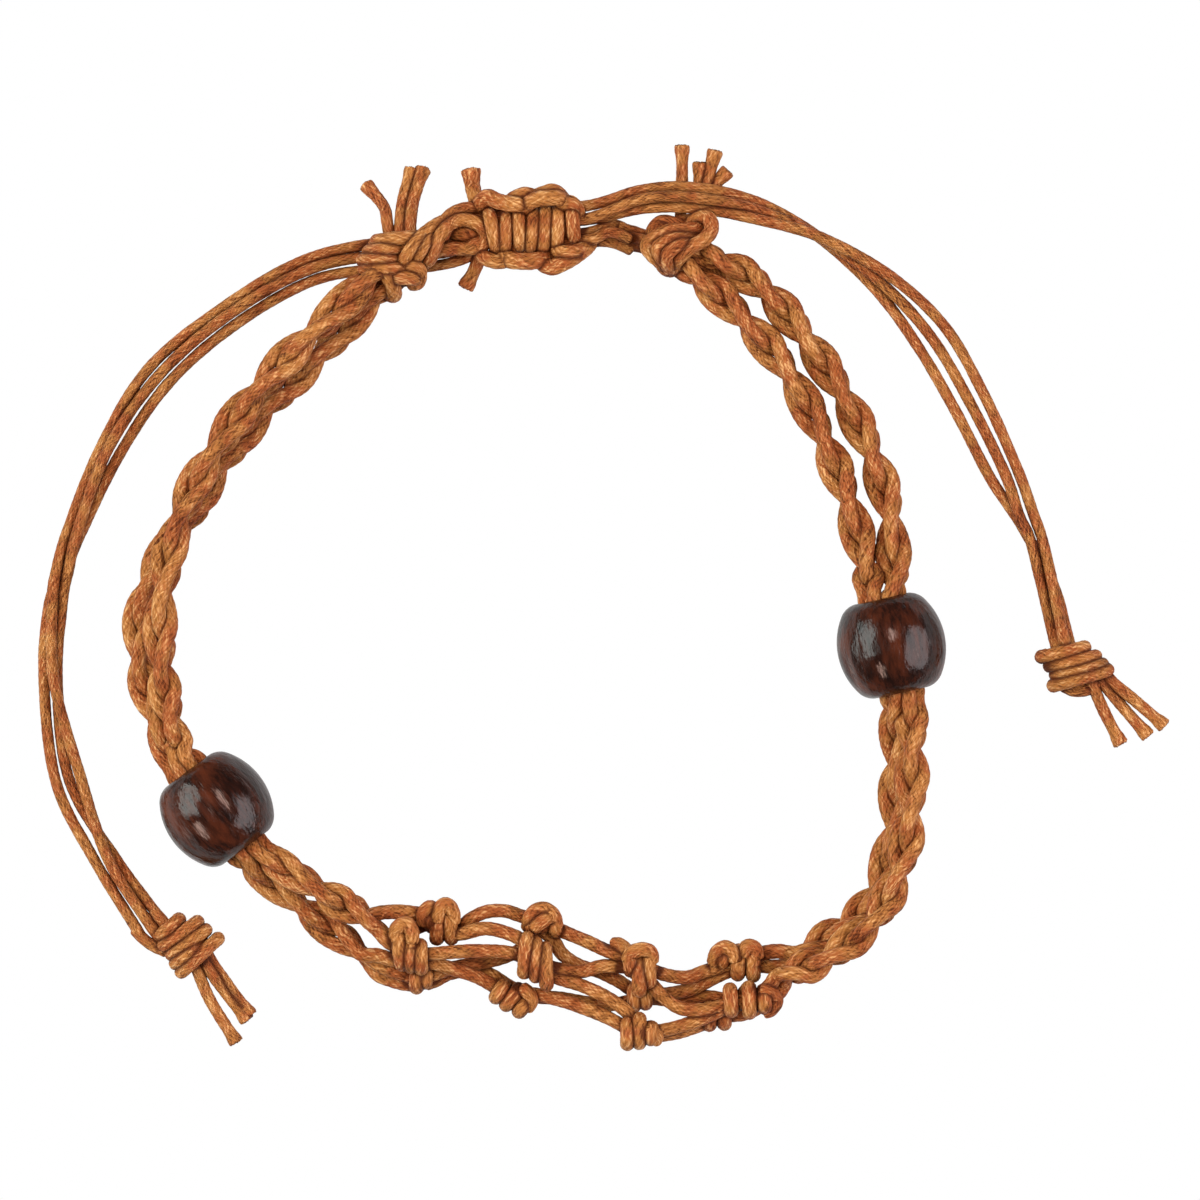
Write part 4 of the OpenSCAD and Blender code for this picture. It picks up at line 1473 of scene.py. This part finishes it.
def make_knots() -> list[Knot]:
    """The five knots outside the net.

    Returns:
        The knots at the top from left to right, then the left and the right stopper knot.
    """
    # Thick runs of a low tone under the coils are painted shade: their dark tone fills the gaps between the
    # turns
    left_gather = Knot(
        "left_gather_knot",
        coils=[Coil([[372, 243, 430, 238], [364, 254, 408, 250], [358, 262, 406, 260], [359, 270, 414, 271],
                     [388, 279, 424, 281]], 2.95, 1.5)],
        runs=[
            Run([[378, 266, 3.6], [386, 274, 4.2], [393, 285, 3.8], [395, 295, 2.6], [391, 296, 1.2]], 1.1),
            Run([[404, 272, 3.6], [414, 268, 4.2], [421, 273, 3.9], [419, 284, 3.2], [410, 285, 2.4]], 1.0),
            Run([[401, 268, 3.6], [408, 258, 4.5], [415, 247, 4.7], [424, 237, 4.3], [434, 229, 3.9],
                 [446, 222, 3.3]]),
            Run([[412, 268, 3.2], [419, 257, 4.3], [427, 246, 4.5], [431, 236, 4.0]]),
            Run([[423, 266, 2.0], [431, 260, 3.6], [436, 250, 4.4], [440, 240, 4.4], [446, 230, 3.9],
                 [456, 223, 3.4], [468, 222, 3.2], [480, 227, 3.2], [487, 236, 3.1], [484, 246, 2.9],
                 [474, 250, 2.8], [458, 250, 2.9], [444, 251, 3.0], [432, 254, 2.6], [420, 260, 1.8]]),
            Run([[442, 230, 1.7], [454, 232, 2.1], [466, 235, 2.4], [478, 240, 2.0]], 1.35, 0.4),
            Run([[430, 241, 2.0], [442, 241, 1.9], [455, 243, 1.7], [470, 241, 1.5]], 1.1, 0.2),
            Run([[372, 252, 1.4], [390, 256, 2.6], [405, 262, 2.9], [420, 258, 2.2]], 1.9, 0.1),
            Run([[378, 272, 1.8], [396, 278, 2.4], [412, 276, 2.0]], 1.5, 0.1),
            cut_end([[391, 242, 2.4], [388, 224, 2.4], [384, 207, 1.4], [367, 186, 0.6]]),
            cut_end([[400, 242, 2.8], [401, 224, 2.4], [404, 200, 1.3], [412, 171, 0.6]], 0.9),
            cut_end([[411, 242, 2.8], [411, 224, 2.6], [414, 200, 1.5], [423, 170, 0.7]], 0.9),
        ],
    )
    sliding = Knot(
        "sliding_knot",
        coils=[Coil([[488, 209, 499, 257], [508, 212, 504, 258], [518, 209, 521, 256], [536, 209, 530, 257],
                     [547, 205, 543, 259], [559, 204, 556, 257], [571, 202, 575, 248]], 2.1, 1.68)],
        runs=[
            Run([[479, 216, 1.2], [481, 205, 2.4], [488, 199, 3.2], [498, 203, 3.6], [510, 206, 3.7],
                 [522, 207, 3.4], [529, 213, 2.4]], 1.15),
            Run([[506, 206, 2.4], [516, 199, 3.0], [526, 196, 3.2], [536, 199, 3.0]], 1.05),
            Run([[524, 215, 2.4], [529, 205, 3.5], [540, 201, 3.9], [551, 200, 4.0], [560, 201, 3.8],
                 [566, 208, 3.0], [567, 216, 2.2]], 1.15),
            Run([[532, 200, 3.0], [543, 196, 3.4], [553, 193, 3.4], [561, 198, 2.9], [565, 206, 2.2]], 1.1),
            Run([[560, 214, 2.4], [564, 206, 3.4], [571, 205, 3.7], [577, 211, 3.2],
                 [580, 221, 2.2]], 1.05),
            Run([[479, 248, 1.6], [484, 258, 2.8], [495, 263, 3.4], [505, 262, 3.3], [511, 254, 2.2]], 1.1),
            Run([[500, 254, 2.2], [508, 261, 3.4], [520, 263, 3.8], [533, 263, 3.8], [542, 260, 3.2],
                 [546, 251, 2.2]], 1.2),
            Run([[536, 257, 2.2], [543, 265, 3.2], [552, 269, 3.5], [561, 266, 3.7], [574, 259, 3.5],
                 [585, 250, 2.6], [591, 243, 1.6]], 1.15),
            Run([[556, 250, 2.8], [562, 254, 3.7], [572, 254, 3.9], [581, 251, 3.2],
                 [587, 244, 2.0]], 1.05),
            Run([[538, 253, 2.0], [549, 256, 2.4], [560, 254, 2.4]], 1.4, 0.3),
            Run([[490, 222, 2.0], [510, 221, 2.4], [535, 220, 2.4], [560, 219, 2.4],
                 [574, 222, 2.0]], 1.5, 0.05),
            Run([[490, 234, 2.0], [510, 234, 2.6], [535, 234, 2.6], [560, 232, 2.6],
                 [576, 230, 2.0]], 1.6, 0.05),
            Run([[490, 246, 2.0], [510, 248, 2.4], [535, 249, 2.4], [560, 245, 2.4],
                 [574, 240, 2.0]], 1.5, 0.05),
            cut_end([[478, 218, 2.0], [476, 200, 1.6], [473, 188, 1.0], [471, 171, 0.8]], 1.1),
            cut_end([[481, 248, 1.8], [478, 262, 1.2], [473, 274, 0.8], [466, 287, 0.6]], 0.95),
        ],
    )
    right_gather = Knot(
        "right_gather_knot",
        runs=[
            Run([[690, 226, 1.6], [698, 219, 2.2], [708, 220, 2.8], [711, 231, 3.2], [704, 241, 3.6],
                 [692, 248, 3.8], [682, 256, 3.6], [675, 264, 2.8], [671, 271, 1.6],
                 [665, 267, 0.8]], 1.05),
            Run([[702, 230, 2.2], [688, 231, 3.1], [670, 233, 3.4], [655, 239, 3.2], [647, 247, 2.8],
                 [652, 256, 2.8], [660, 263, 2.7], [666, 270, 1.9], [672, 271, 1.0]], 1.05),
            Run([[696, 238, 2.6], [682, 239, 3.5], [668, 242, 3.8], [658, 249, 3.7], [660, 257, 3.5],
                 [666, 265, 3.0], [669, 271, 2.0]], 1.0),
            Run([[694, 244, 2.8], [681, 246, 3.9], [671, 252, 4.1], [666, 259, 3.8], [668, 266, 3.1],
                 [672, 270, 2.0]]),
            Run([[652, 244, 1.6], [653, 231, 1.6], [661, 223, 1.7], [672, 224, 1.9], [684, 229, 1.8],
                 [696, 223, 1.6]], 1.0, 0.25),
            Run([[674, 223, 1.2], [688, 221, 1.3], [700, 220, 1.5]], 0.95, 0.2),
            Run([[624, 238, 1.2], [636, 240, 1.5], [648, 243, 1.8], [658, 246, 1.8]], 0.95),
            Run([[624, 246, 1.3], [636, 246, 1.3], [650, 250, 1.5], [662, 256, 1.6]], 0.95),
            Run([[622, 230, 1.0], [634, 233, 1.0], [646, 237, 1.0], [658, 240, 1.2]], 0.95),
            Run([[650, 248, 1.5], [668, 247, 2.1], [688, 240, 2.1], [702, 231, 1.9]], 1.8, 0.1),
            Run([[688, 248, 2.2], [697, 258, 1.9], [708, 268, 1.3], [718, 277, 1.0],
                 [728, 284, 0.9]], 0.95, 0.45),
            Run([[656, 250, 1.6], [664, 260, 1.7], [671, 268, 1.5]], 1.6, 0.1),
            cut_end([[680, 228, 1.0], [681, 205, 0.6], [682, 178, 0.5], [682, 147, 0.6]]),
            cut_end([[696, 228, 1.0], [698, 205, 0.6], [699, 185, 0.5], [700, 164, 0.6]]),
            cut_end([[704, 228, 1.4], [706, 205, 0.7], [708, 180, 0.6], [715, 152, 0.7]], 0.9),
            cut_end([[710, 228, 1.2], [711, 206, 0.6], [713, 188, 0.5], [727, 172, 0.6]]),
        ],
    )
    left_tail = Knot(
        "left_tail_knot",
        coils=[Coil([[158, 938, 184, 915], [160, 948, 203, 918], [168, 957, 211, 926], [172, 966, 208, 939],
                     [178, 975, 223, 934]], 1.5, 1.05)],
        runs=[
            Run([[145, 914, 1.3], [153, 927, 1.3], [162, 937, 1.4], [176, 946, 1.6]], 0.87),
            Run([[152, 908, 1.2], [162, 919, 1.3], [171, 929, 1.4], [184, 938, 1.6]], 0.87),
            Run([[134, 927, 1.1], [143, 937, 1.2], [154, 945, 1.3], [170, 952, 1.5]], 0.87),
            Run([[172, 936, 1.5], [186, 946, 1.7], [196, 954, 1.5]], 1.9, 0.3),
            cut_end([[192, 956, 1.2], [198, 970, 1.0], [211, 1001, 0.5], [236, 1041, 0.5]]),
            cut_end([[201, 952, 1.2], [209, 968, 1.0], [225, 991, 0.6], [247, 1019, 0.6]]),
            cut_end([[206, 950, 1.0], [215, 966, 0.6], [232, 990, 0.5], [250, 1014, 0.5]]),
        ],
    )
    right_tail = Knot(
        "right_tail_knot",
        coils=[Coil([[1035, 658, 1089, 646], [1043, 667, 1100, 655], [1049, 676, 1107, 663],
                     [1047, 687, 1112, 668]], 1.5, 1.05)],
        runs=[
            Run([[1064, 627, 0.9], [1068, 641, 1.0], [1073, 655, 1.4], [1082, 668, 1.6]], 0.87),
            Run([[1051, 626, 1.3], [1054, 641, 1.3], [1058, 655, 1.5], [1064, 668, 1.6]], 0.87),
            Run([[1060, 626, 2.1], [1063, 641, 2.2], [1068, 655, 2.1], [1076, 668, 1.8]], 0.87),
            Run([[1046, 662, 1.5], [1058, 667, 1.7], [1066, 674, 1.6], [1058, 682, 1.5]], 1.3, 0.5),
            Run([[1060, 684, 1.1], [1074, 690, 1.1], [1090, 688, 1.0], [1098, 680, 1.0]], 0.95, 0.2),
            Run([[1052, 662, 1.5], [1070, 668, 1.7], [1094, 668, 1.5]], 1.9, 0.3),
            cut_end([[1086, 668, 1.3], [1090, 680, 1.3], [1103, 710, 0.6], [1120, 743, 0.6]]),
            cut_end([[1096, 672, 1.2], [1104, 685, 1.0], [1125, 710, 0.5], [1147, 735, 0.5]]),
            cut_end([[1102, 670, 1.2], [1112, 682, 1.2], [1136, 702, 0.9], [1163, 725, 0.6]]),
        ],
    )
    return [left_gather, sliding, right_gather, left_tail, right_tail]


@dataclass
class Tails:
    """The six loose cords that adjust the bracelet, in two bundles of three."""

    diameter: float = CORD_D
    tones: tuple[float, float, float] = (0.5, 0.35, 0.5)
    yarn_relief: float = 0.04

    # Seeds go up from here with a strand's number and its side's letters
    SEED = 80
    # From the gather knot where each starts, through the sliding knot, to its stopper knot
    RIGHT = [
        [[-7.3, 27.4, 3.8], [-5.9, 28.8, 3], [-3.5, 29.1, 2.2], [3.4, 29.1, 2.2], [8.2, 30.4, 2],
         [12.4, 30.5, 2], [16.9, 29.4, 0.7], [21.4, 26.8, 0.45], [25.6, 22.9, 0.45], [28.7, 18.7, 0.45],
         [31.5, 13.9, 0.45], [34.1, 8.9, 0.45], [36.4, 5.4, 0.45], [38.9, 0.7, 0.45], [40, -3.4, 1]],
        [[-7, 26.5, 2.8], [-5.9, 27.9, 2.7], [-3.5, 28.1, 2.75], [3.4, 28.1, 2.75], [8.2, 29.7, 2.7],
         [12.4, 29.7, 2.7], [16.9, 28.8, 1.4], [21.4, 26.8, 1.4], [26, 23.4, 1.15], [29.7, 19.4, 0.45],
         [32.6, 14.5, 0.45], [35.2, 9.2, 0.8], [36.3, 5.9, 1.4], [37.2, 3.8, 1.35], [38.9, -3.4, 1.3]],
        [[-7.3, 27.4, 2.4], [-5.9, 28.3, 1.6], [-3.5, 28.1, 1.45], [3.4, 28.1, 1.45], [8.2, 29, 2],
         [12.4, 28.95, 2], [16.9, 28.1, 2], [21.4, 26.8, 2.4], [26.5, 24, 1.8], [30.7, 20.2, 0.45],
         [33.6, 15.2, 0.45], [36.1, 9.6, 0.8], [37.3, 6.2, 1.2], [38.2, 3.4, 1.45], [39.6, -3.4, 2.2]],
    ]
    LEFT = [
        [[7.3, 27.2, 1], [5.8, 27.8, 0.9], [3.4, 27.1, 2.1], [-3.5, 27.1, 2.1], [-5.2, 26.5, 1.7],
         [-7.9, 26.5, 0.45], [-12.2, 26.4, 0.45], [-17.7, 25, 0.45], [-23.7, 21.4, 0.45], [-29, 17, 0.45],
         [-32.5, 11.2, 0.5], [-34.9, 5.2, 0.8], [-35.8, 2, 1.3], [-36.1, -0.4, 1.6], [-36, -6.3, 1.4],
         [-34, -13.6, 1.2], [-31.9, -19.8, 1.35], [-28.7, -24.8, 1.3]],
        [[7.3, 26.6, 2], [5.6, 27.2, 2.2], [3.4, 26.5, 2.75], [-3.5, 26.5, 2.75], [-5.2, 26, 2.85],
         [-7.9, 25.6, 0.45], [-12.2, 25.5, 0.45], [-17.3, 24.3, 0.95], [-23.3, 20.8, 1.1],
         [-28.3, 16.4, 0.6], [-32, 10.9, 1.3], [-34.2, 4.9, 1.4], [-34.9, 2, 1.3], [-35.4, -0.6, 1],
         [-35.8, -6.3, 0.45], [-34.9, -13.8, 0.45], [-31.2, -20, 0.45], [-28, -24.2, 1.3]],
        [[7.4, 25.8, 1.3], [5.6, 26.5, 1.3], [3.4, 26.5, 1.4], [-3.5, 26.5, 1.4], [-5.2, 25.3, 1.2],
         [-7.9, 24.7, 0.45], [-12.1, 24.5, 0.45], [-17, 23.5, 0.45], [-22.8, 20.1, 0.45],
         [-27.6, 15.8, 0.45], [-31.2, 10.5, 0.45], [-33.9, 5, 0.45], [-35.2, 2, 0.45], [-36.4, -0.6, 0.45],
         [-36.8, -6.3, 0.45], [-35.9, -13.9, 0.6], [-33.1, -19.6, 0.8], [-29.4, -25.6, 1.2]],
    ]

    def strands(self) -> Iterator[tuple[str, int, list[Row]]]:
        """Goes through the strands.

        Yields:
            The side of each one's stopper knot, its number there and its route.
        """
        for side, routes in (("right", self.RIGHT), ("left", self.LEFT)):
            for number, rows in enumerate(routes, 1):
                yield side, number, rows

    def plan(self, finish: bpy.types.Material, workshop: Workshop) -> None:
        """Plans the six strands.

        Args:
            finish: Their material.
            workshop: Takes the pieces.
        """
        for side, number, rows in self.strands():
            cord = Cord(smooth_route(rows), diameter=self.diameter, wide=1.0, tone=self.tones[number - 1],
                        yarn_relief=self.yarn_relief, seed=self.SEED + number + len(side))
            workshop.plan(f"{side}_tail_cord_{number}", [cord], finish, "tail_cord",
                          f"{side}_tail_strand_{number}")

    def declare(self) -> None:
        """Goes through the strands and does nothing with them.
        """
        for side, number, rows in self.strands():
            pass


@dataclass
class Bead:
    """A lacquered wooden barrel bead, turned on a lathe, with shallow tool marks along its grain."""

    place: BeadPlace
    # Tool marks; columns: place along the hole, angle from the top in degrees, length, width, depth
    marks: list[Row]
    diameter: float = 8.1
    hole_d: float = 4.2
    # Radius of the barrel's curved side, and of its rounded rim
    bulge_r: float = 5.2
    rim_r: float = 1.6
    # Steps round the bead, and along its side, its rim and its hole
    steps: int = 160
    side_steps: int = 18
    rim_steps: int = 12
    hole_steps: int = 8
    # Tool marks stay this far outside the hole
    mark_gap: float = 0.3
    # Depth of a tool mark at which its painted highlight is full
    full_highlight_depth: float = 0.24

    def profile(self) -> list[tuple[float, float]]:
        """Draws the bead's section, closed along the hole.

        Returns:
            Distance along the hole and distance from its middle line, for each point.
        """
        axis = self.diameter / 2 - self.bulge_r
        reach = self.bulge_r - self.rim_r
        rim_along = self.place.length / 2 - self.rim_r
        rim_out = axis + math.sqrt(reach ** 2 - rim_along ** 2)
        side_turn = math.asin(rim_along / reach)
        mouth_turn = math.acos((self.hole_d / 2 - rim_out) / self.rim_r)
        side = [(self.bulge_r * math.sin(turn), axis + self.bulge_r * math.cos(turn))
                for turn in np.linspace(0, side_turn, self.side_steps)]
        rim = [(rim_along + self.rim_r * math.sin(turn), rim_out + self.rim_r * math.cos(turn))
               for turn in np.linspace(side_turn, mouth_turn, self.rim_steps)[1:]]
        right = side + rim
        left = [(-along, out) for along, out in right[:0:-1]]
        hole = [(along, self.hole_d / 2)
                for along in np.linspace(right[-1][0], left[0][0], self.hole_steps)[1:-1]]
        return left + right + hole

    def mark_depth(self, along: float, angle: float) -> float:
        """How deep the tool marks are at a place on the side.

        Args:
            along: Distance along the hole.
            angle: Angle from the top in radians.

        Returns:
            The depth.
        """
        depth = 0.0
        for mark_along, mark_angle, mark_length, mark_width, mark_depth in self.marks:
            turn = (angle - math.radians(mark_angle) + math.pi) % (2 * math.pi) - math.pi
            across = turn * self.diameter / mark_width
            down = (along - mark_along) / (mark_length / 2)
            depth += mark_depth * math.exp(-(across ** 2) - abs(down) ** 3)
        return depth

    def make(self, finish: bpy.types.Material, workshop: Workshop) -> None:
        """Makes the bead in its place.

        Args:
            finish: Its material.
            workshop: Takes the piece.
        """
        form = bmesh.new()
        gouged = form.verts.layers.float.new("gouged")
        outline = [form.verts.new((along, 0.0, out)) for along, out in self.profile()]
        edges = [form.edges.new(pair) for pair in zip(outline, outline[1:] + outline[:1])]
        bmesh.ops.spin(form, geom=outline + edges, cent=(0, 0, 0), axis=(1, 0, 0), angle=2 * math.pi,
                       steps=self.steps, use_merge=True, use_duplicate=False)
        bmesh.ops.remove_doubles(form, verts=form.verts, dist=WELD)
        for vert in form.verts:
            out = math.hypot(vert.co.y, vert.co.z)
            if out > self.hole_d / 2 + self.mark_gap:
                depth = self.mark_depth(vert.co.x, math.atan2(vert.co.y, vert.co.z))
                vert.co.yz = vert.co.yz * (1 - depth / out)
                # A mark's depth share sets its painted highlight and its roughness
                vert[gouged] = ease(depth / self.full_highlight_depth)
        bmesh.ops.recalc_face_normals(form, faces=form.faces)
        turned = Matrix.Rotation(self.place.turn, 4, "Z")
        bmesh.ops.transform(form, matrix=Matrix.Translation(self.place.middle) @ turned, verts=form.verts)
        bmesh.ops.scale(form, vec=(MM, MM, MM), verts=form.verts)
        piece = smooth_object(f"{self.place.arm}_wooden_bead", form)
        workshop.dress(piece, finish, "bead_wood", f"{self.place.arm}_bead")


@dataclass(frozen=True)
class Softbox:
    """A rectangular light that faces the bracelet; its place and size are in metres."""

    name: str
    place: tuple[float, float, float]
    size: tuple[float, float]
    watts: float
    # Its colour in linear light
    tint: tuple[float, float, float] = (1.0, 1.0, 1.0)
    # Whether glossy surfaces show it
    mirrored: bool = True

    def hang(self) -> None:
        """Puts the light in its place."""
        data = bpy.data.lights.new(self.name, "AREA")
        data.shape = "RECTANGLE"
        data.size, data.size_y = self.size
        data.energy = self.watts
        data.color = self.tint
        light = in_scene(self.name, data)
        light.location = self.place
        light.rotation_euler = (-Vector(self.place)).to_track_quat("-Z", "Y").to_euler()
        light.visible_glossy = self.mirrored


@dataclass
class Studio:
    """The floor, the soft lights and the camera above."""

    # Height of the camera in metres, and width of its sensor in millimetres
    distance: float = 0.7
    sensor: float = 36.0
    # Nearest and farthest that it sees, in metres
    sight: tuple[float, float] = (0.01, 10.0)
    floor_size: float = 3.0
    # What the bracelet sees of the floor; the camera sees it plain white
    floor_colour: tuple[float, float, float, float] = (0.55, 0.55, 0.55, 1.0)
    floor_roughness: float = 0.9
    floor_specular: float = 0.1
    room_light: float = 0.1
    softboxes: tuple[Softbox, ...] = (
        Softbox("top_softbox", (-0.12, 0.1, 0.75), (0.4, 0.4), 4.9, mirrored=False),
        Softbox("left_softbox", (-0.5, 0.05, 0.34), (0.56, 0.4), 3.7, (0.9, 1.0, 0.96)),
        Softbox("right_softbox", (0.5, -0.02, 0.34), (0.55, 0.48), 3.2, (1.0, 0.93, 0.95)),
    )

    def camera(self) -> None:
        """Sets up a camera that looks straight down at the photograph's frame."""
        data = bpy.data.cameras.new("camera")
        data.sensor_width = self.sensor
        data.lens = self.sensor * self.distance / (PHOTO_PIXELS * MM_PER_PIXEL * MM)
        data.clip_start, data.clip_end = self.sight
        camera = in_scene("camera", data)
        x, y, _ = on_photo(PHOTO_PIXELS / 2, PHOTO_PIXELS / 2, 0.0)
        camera.location = (x * MM, y * MM, self.distance)
        bpy.context.scene.camera = camera

    def floor(self) -> None:
        """Lays a white floor that stays white under the bracelet."""
        form = bmesh.new()
        bmesh.ops.create_grid(form, x_segments=1, y_segments=1, size=self.floor_size / 2)
        floor = smooth_object("floor", form)
        material = bpy.data.materials.new("white_floor")
        material.use_nodes = True
        graph = Graph(material.node_tree)
        shader = material.node_tree.nodes["Principled BSDF"]
        graph.feed(shader.inputs, {"Base Color": self.floor_colour, "Roughness": self.floor_roughness,
                                   "Specular IOR Level": self.floor_specular})
        mixed = graph.made("ShaderNodeMixShader", {
            0: graph.node("ShaderNodeLightPath").outputs["Is Camera Ray"], 1: shader.outputs[0],
            2: graph.node("ShaderNodeEmission").outputs[0],
        })
        graph.feed(material.node_tree.nodes["Material Output"].inputs, {"Surface": mixed.outputs[0]})
        floor.data.materials.append(material)

    def light(self) -> None:
        """Hangs soft light above and at each side, in a grey room."""
        for softbox in self.softboxes:
            softbox.hang()
        world = bpy.data.worlds.new("room")
        world.use_nodes = True
        background = world.node_tree.nodes["Background"].inputs
        Graph(world.node_tree).feed(background, {"Color": (1.0, 1.0, 1.0, 1.0), "Strength": self.room_light})
        bpy.context.scene.world = world
        bpy.context.scene.view_settings.view_transform = "Standard"


def main() -> None:
    """Builds the studio, the cords, the knots and the beads."""
    logging.basicConfig(level=logging.INFO, format="%(message)s")
    studio = Studio()
    studio.camera()
    studio.floor()
    studio.light()

    cover = YarnCover().group()
    wax = {name: WaxedCord(f"{name}_cord_wax").make(cover) for name in ("braid", "net", "knot", "tail")}

    workshop = Workshop()
    tails = Tails()
    tails.plan(wax["tail"], workshop)
    for braid in make_braids():
        braid.plan(wax["braid"], workshop)
    Net().plan(wax["net"], workshop)
    for knot in make_knots():
        knot.plan(wax["knot"], workshop)
    workshop.make_all()
    tails.declare()

    grain = StainedGrain().group()
    for place in (LEFT_BEAD, RIGHT_BEAD):
        finish = LacqueredWood(f"{place.arm}_bead_lacquer", place.turn).make(grain)
        Bead(place, TOOL_MARKS[place.arm]).make(finish, workshop)


if __name__ == "__main__":
    main()
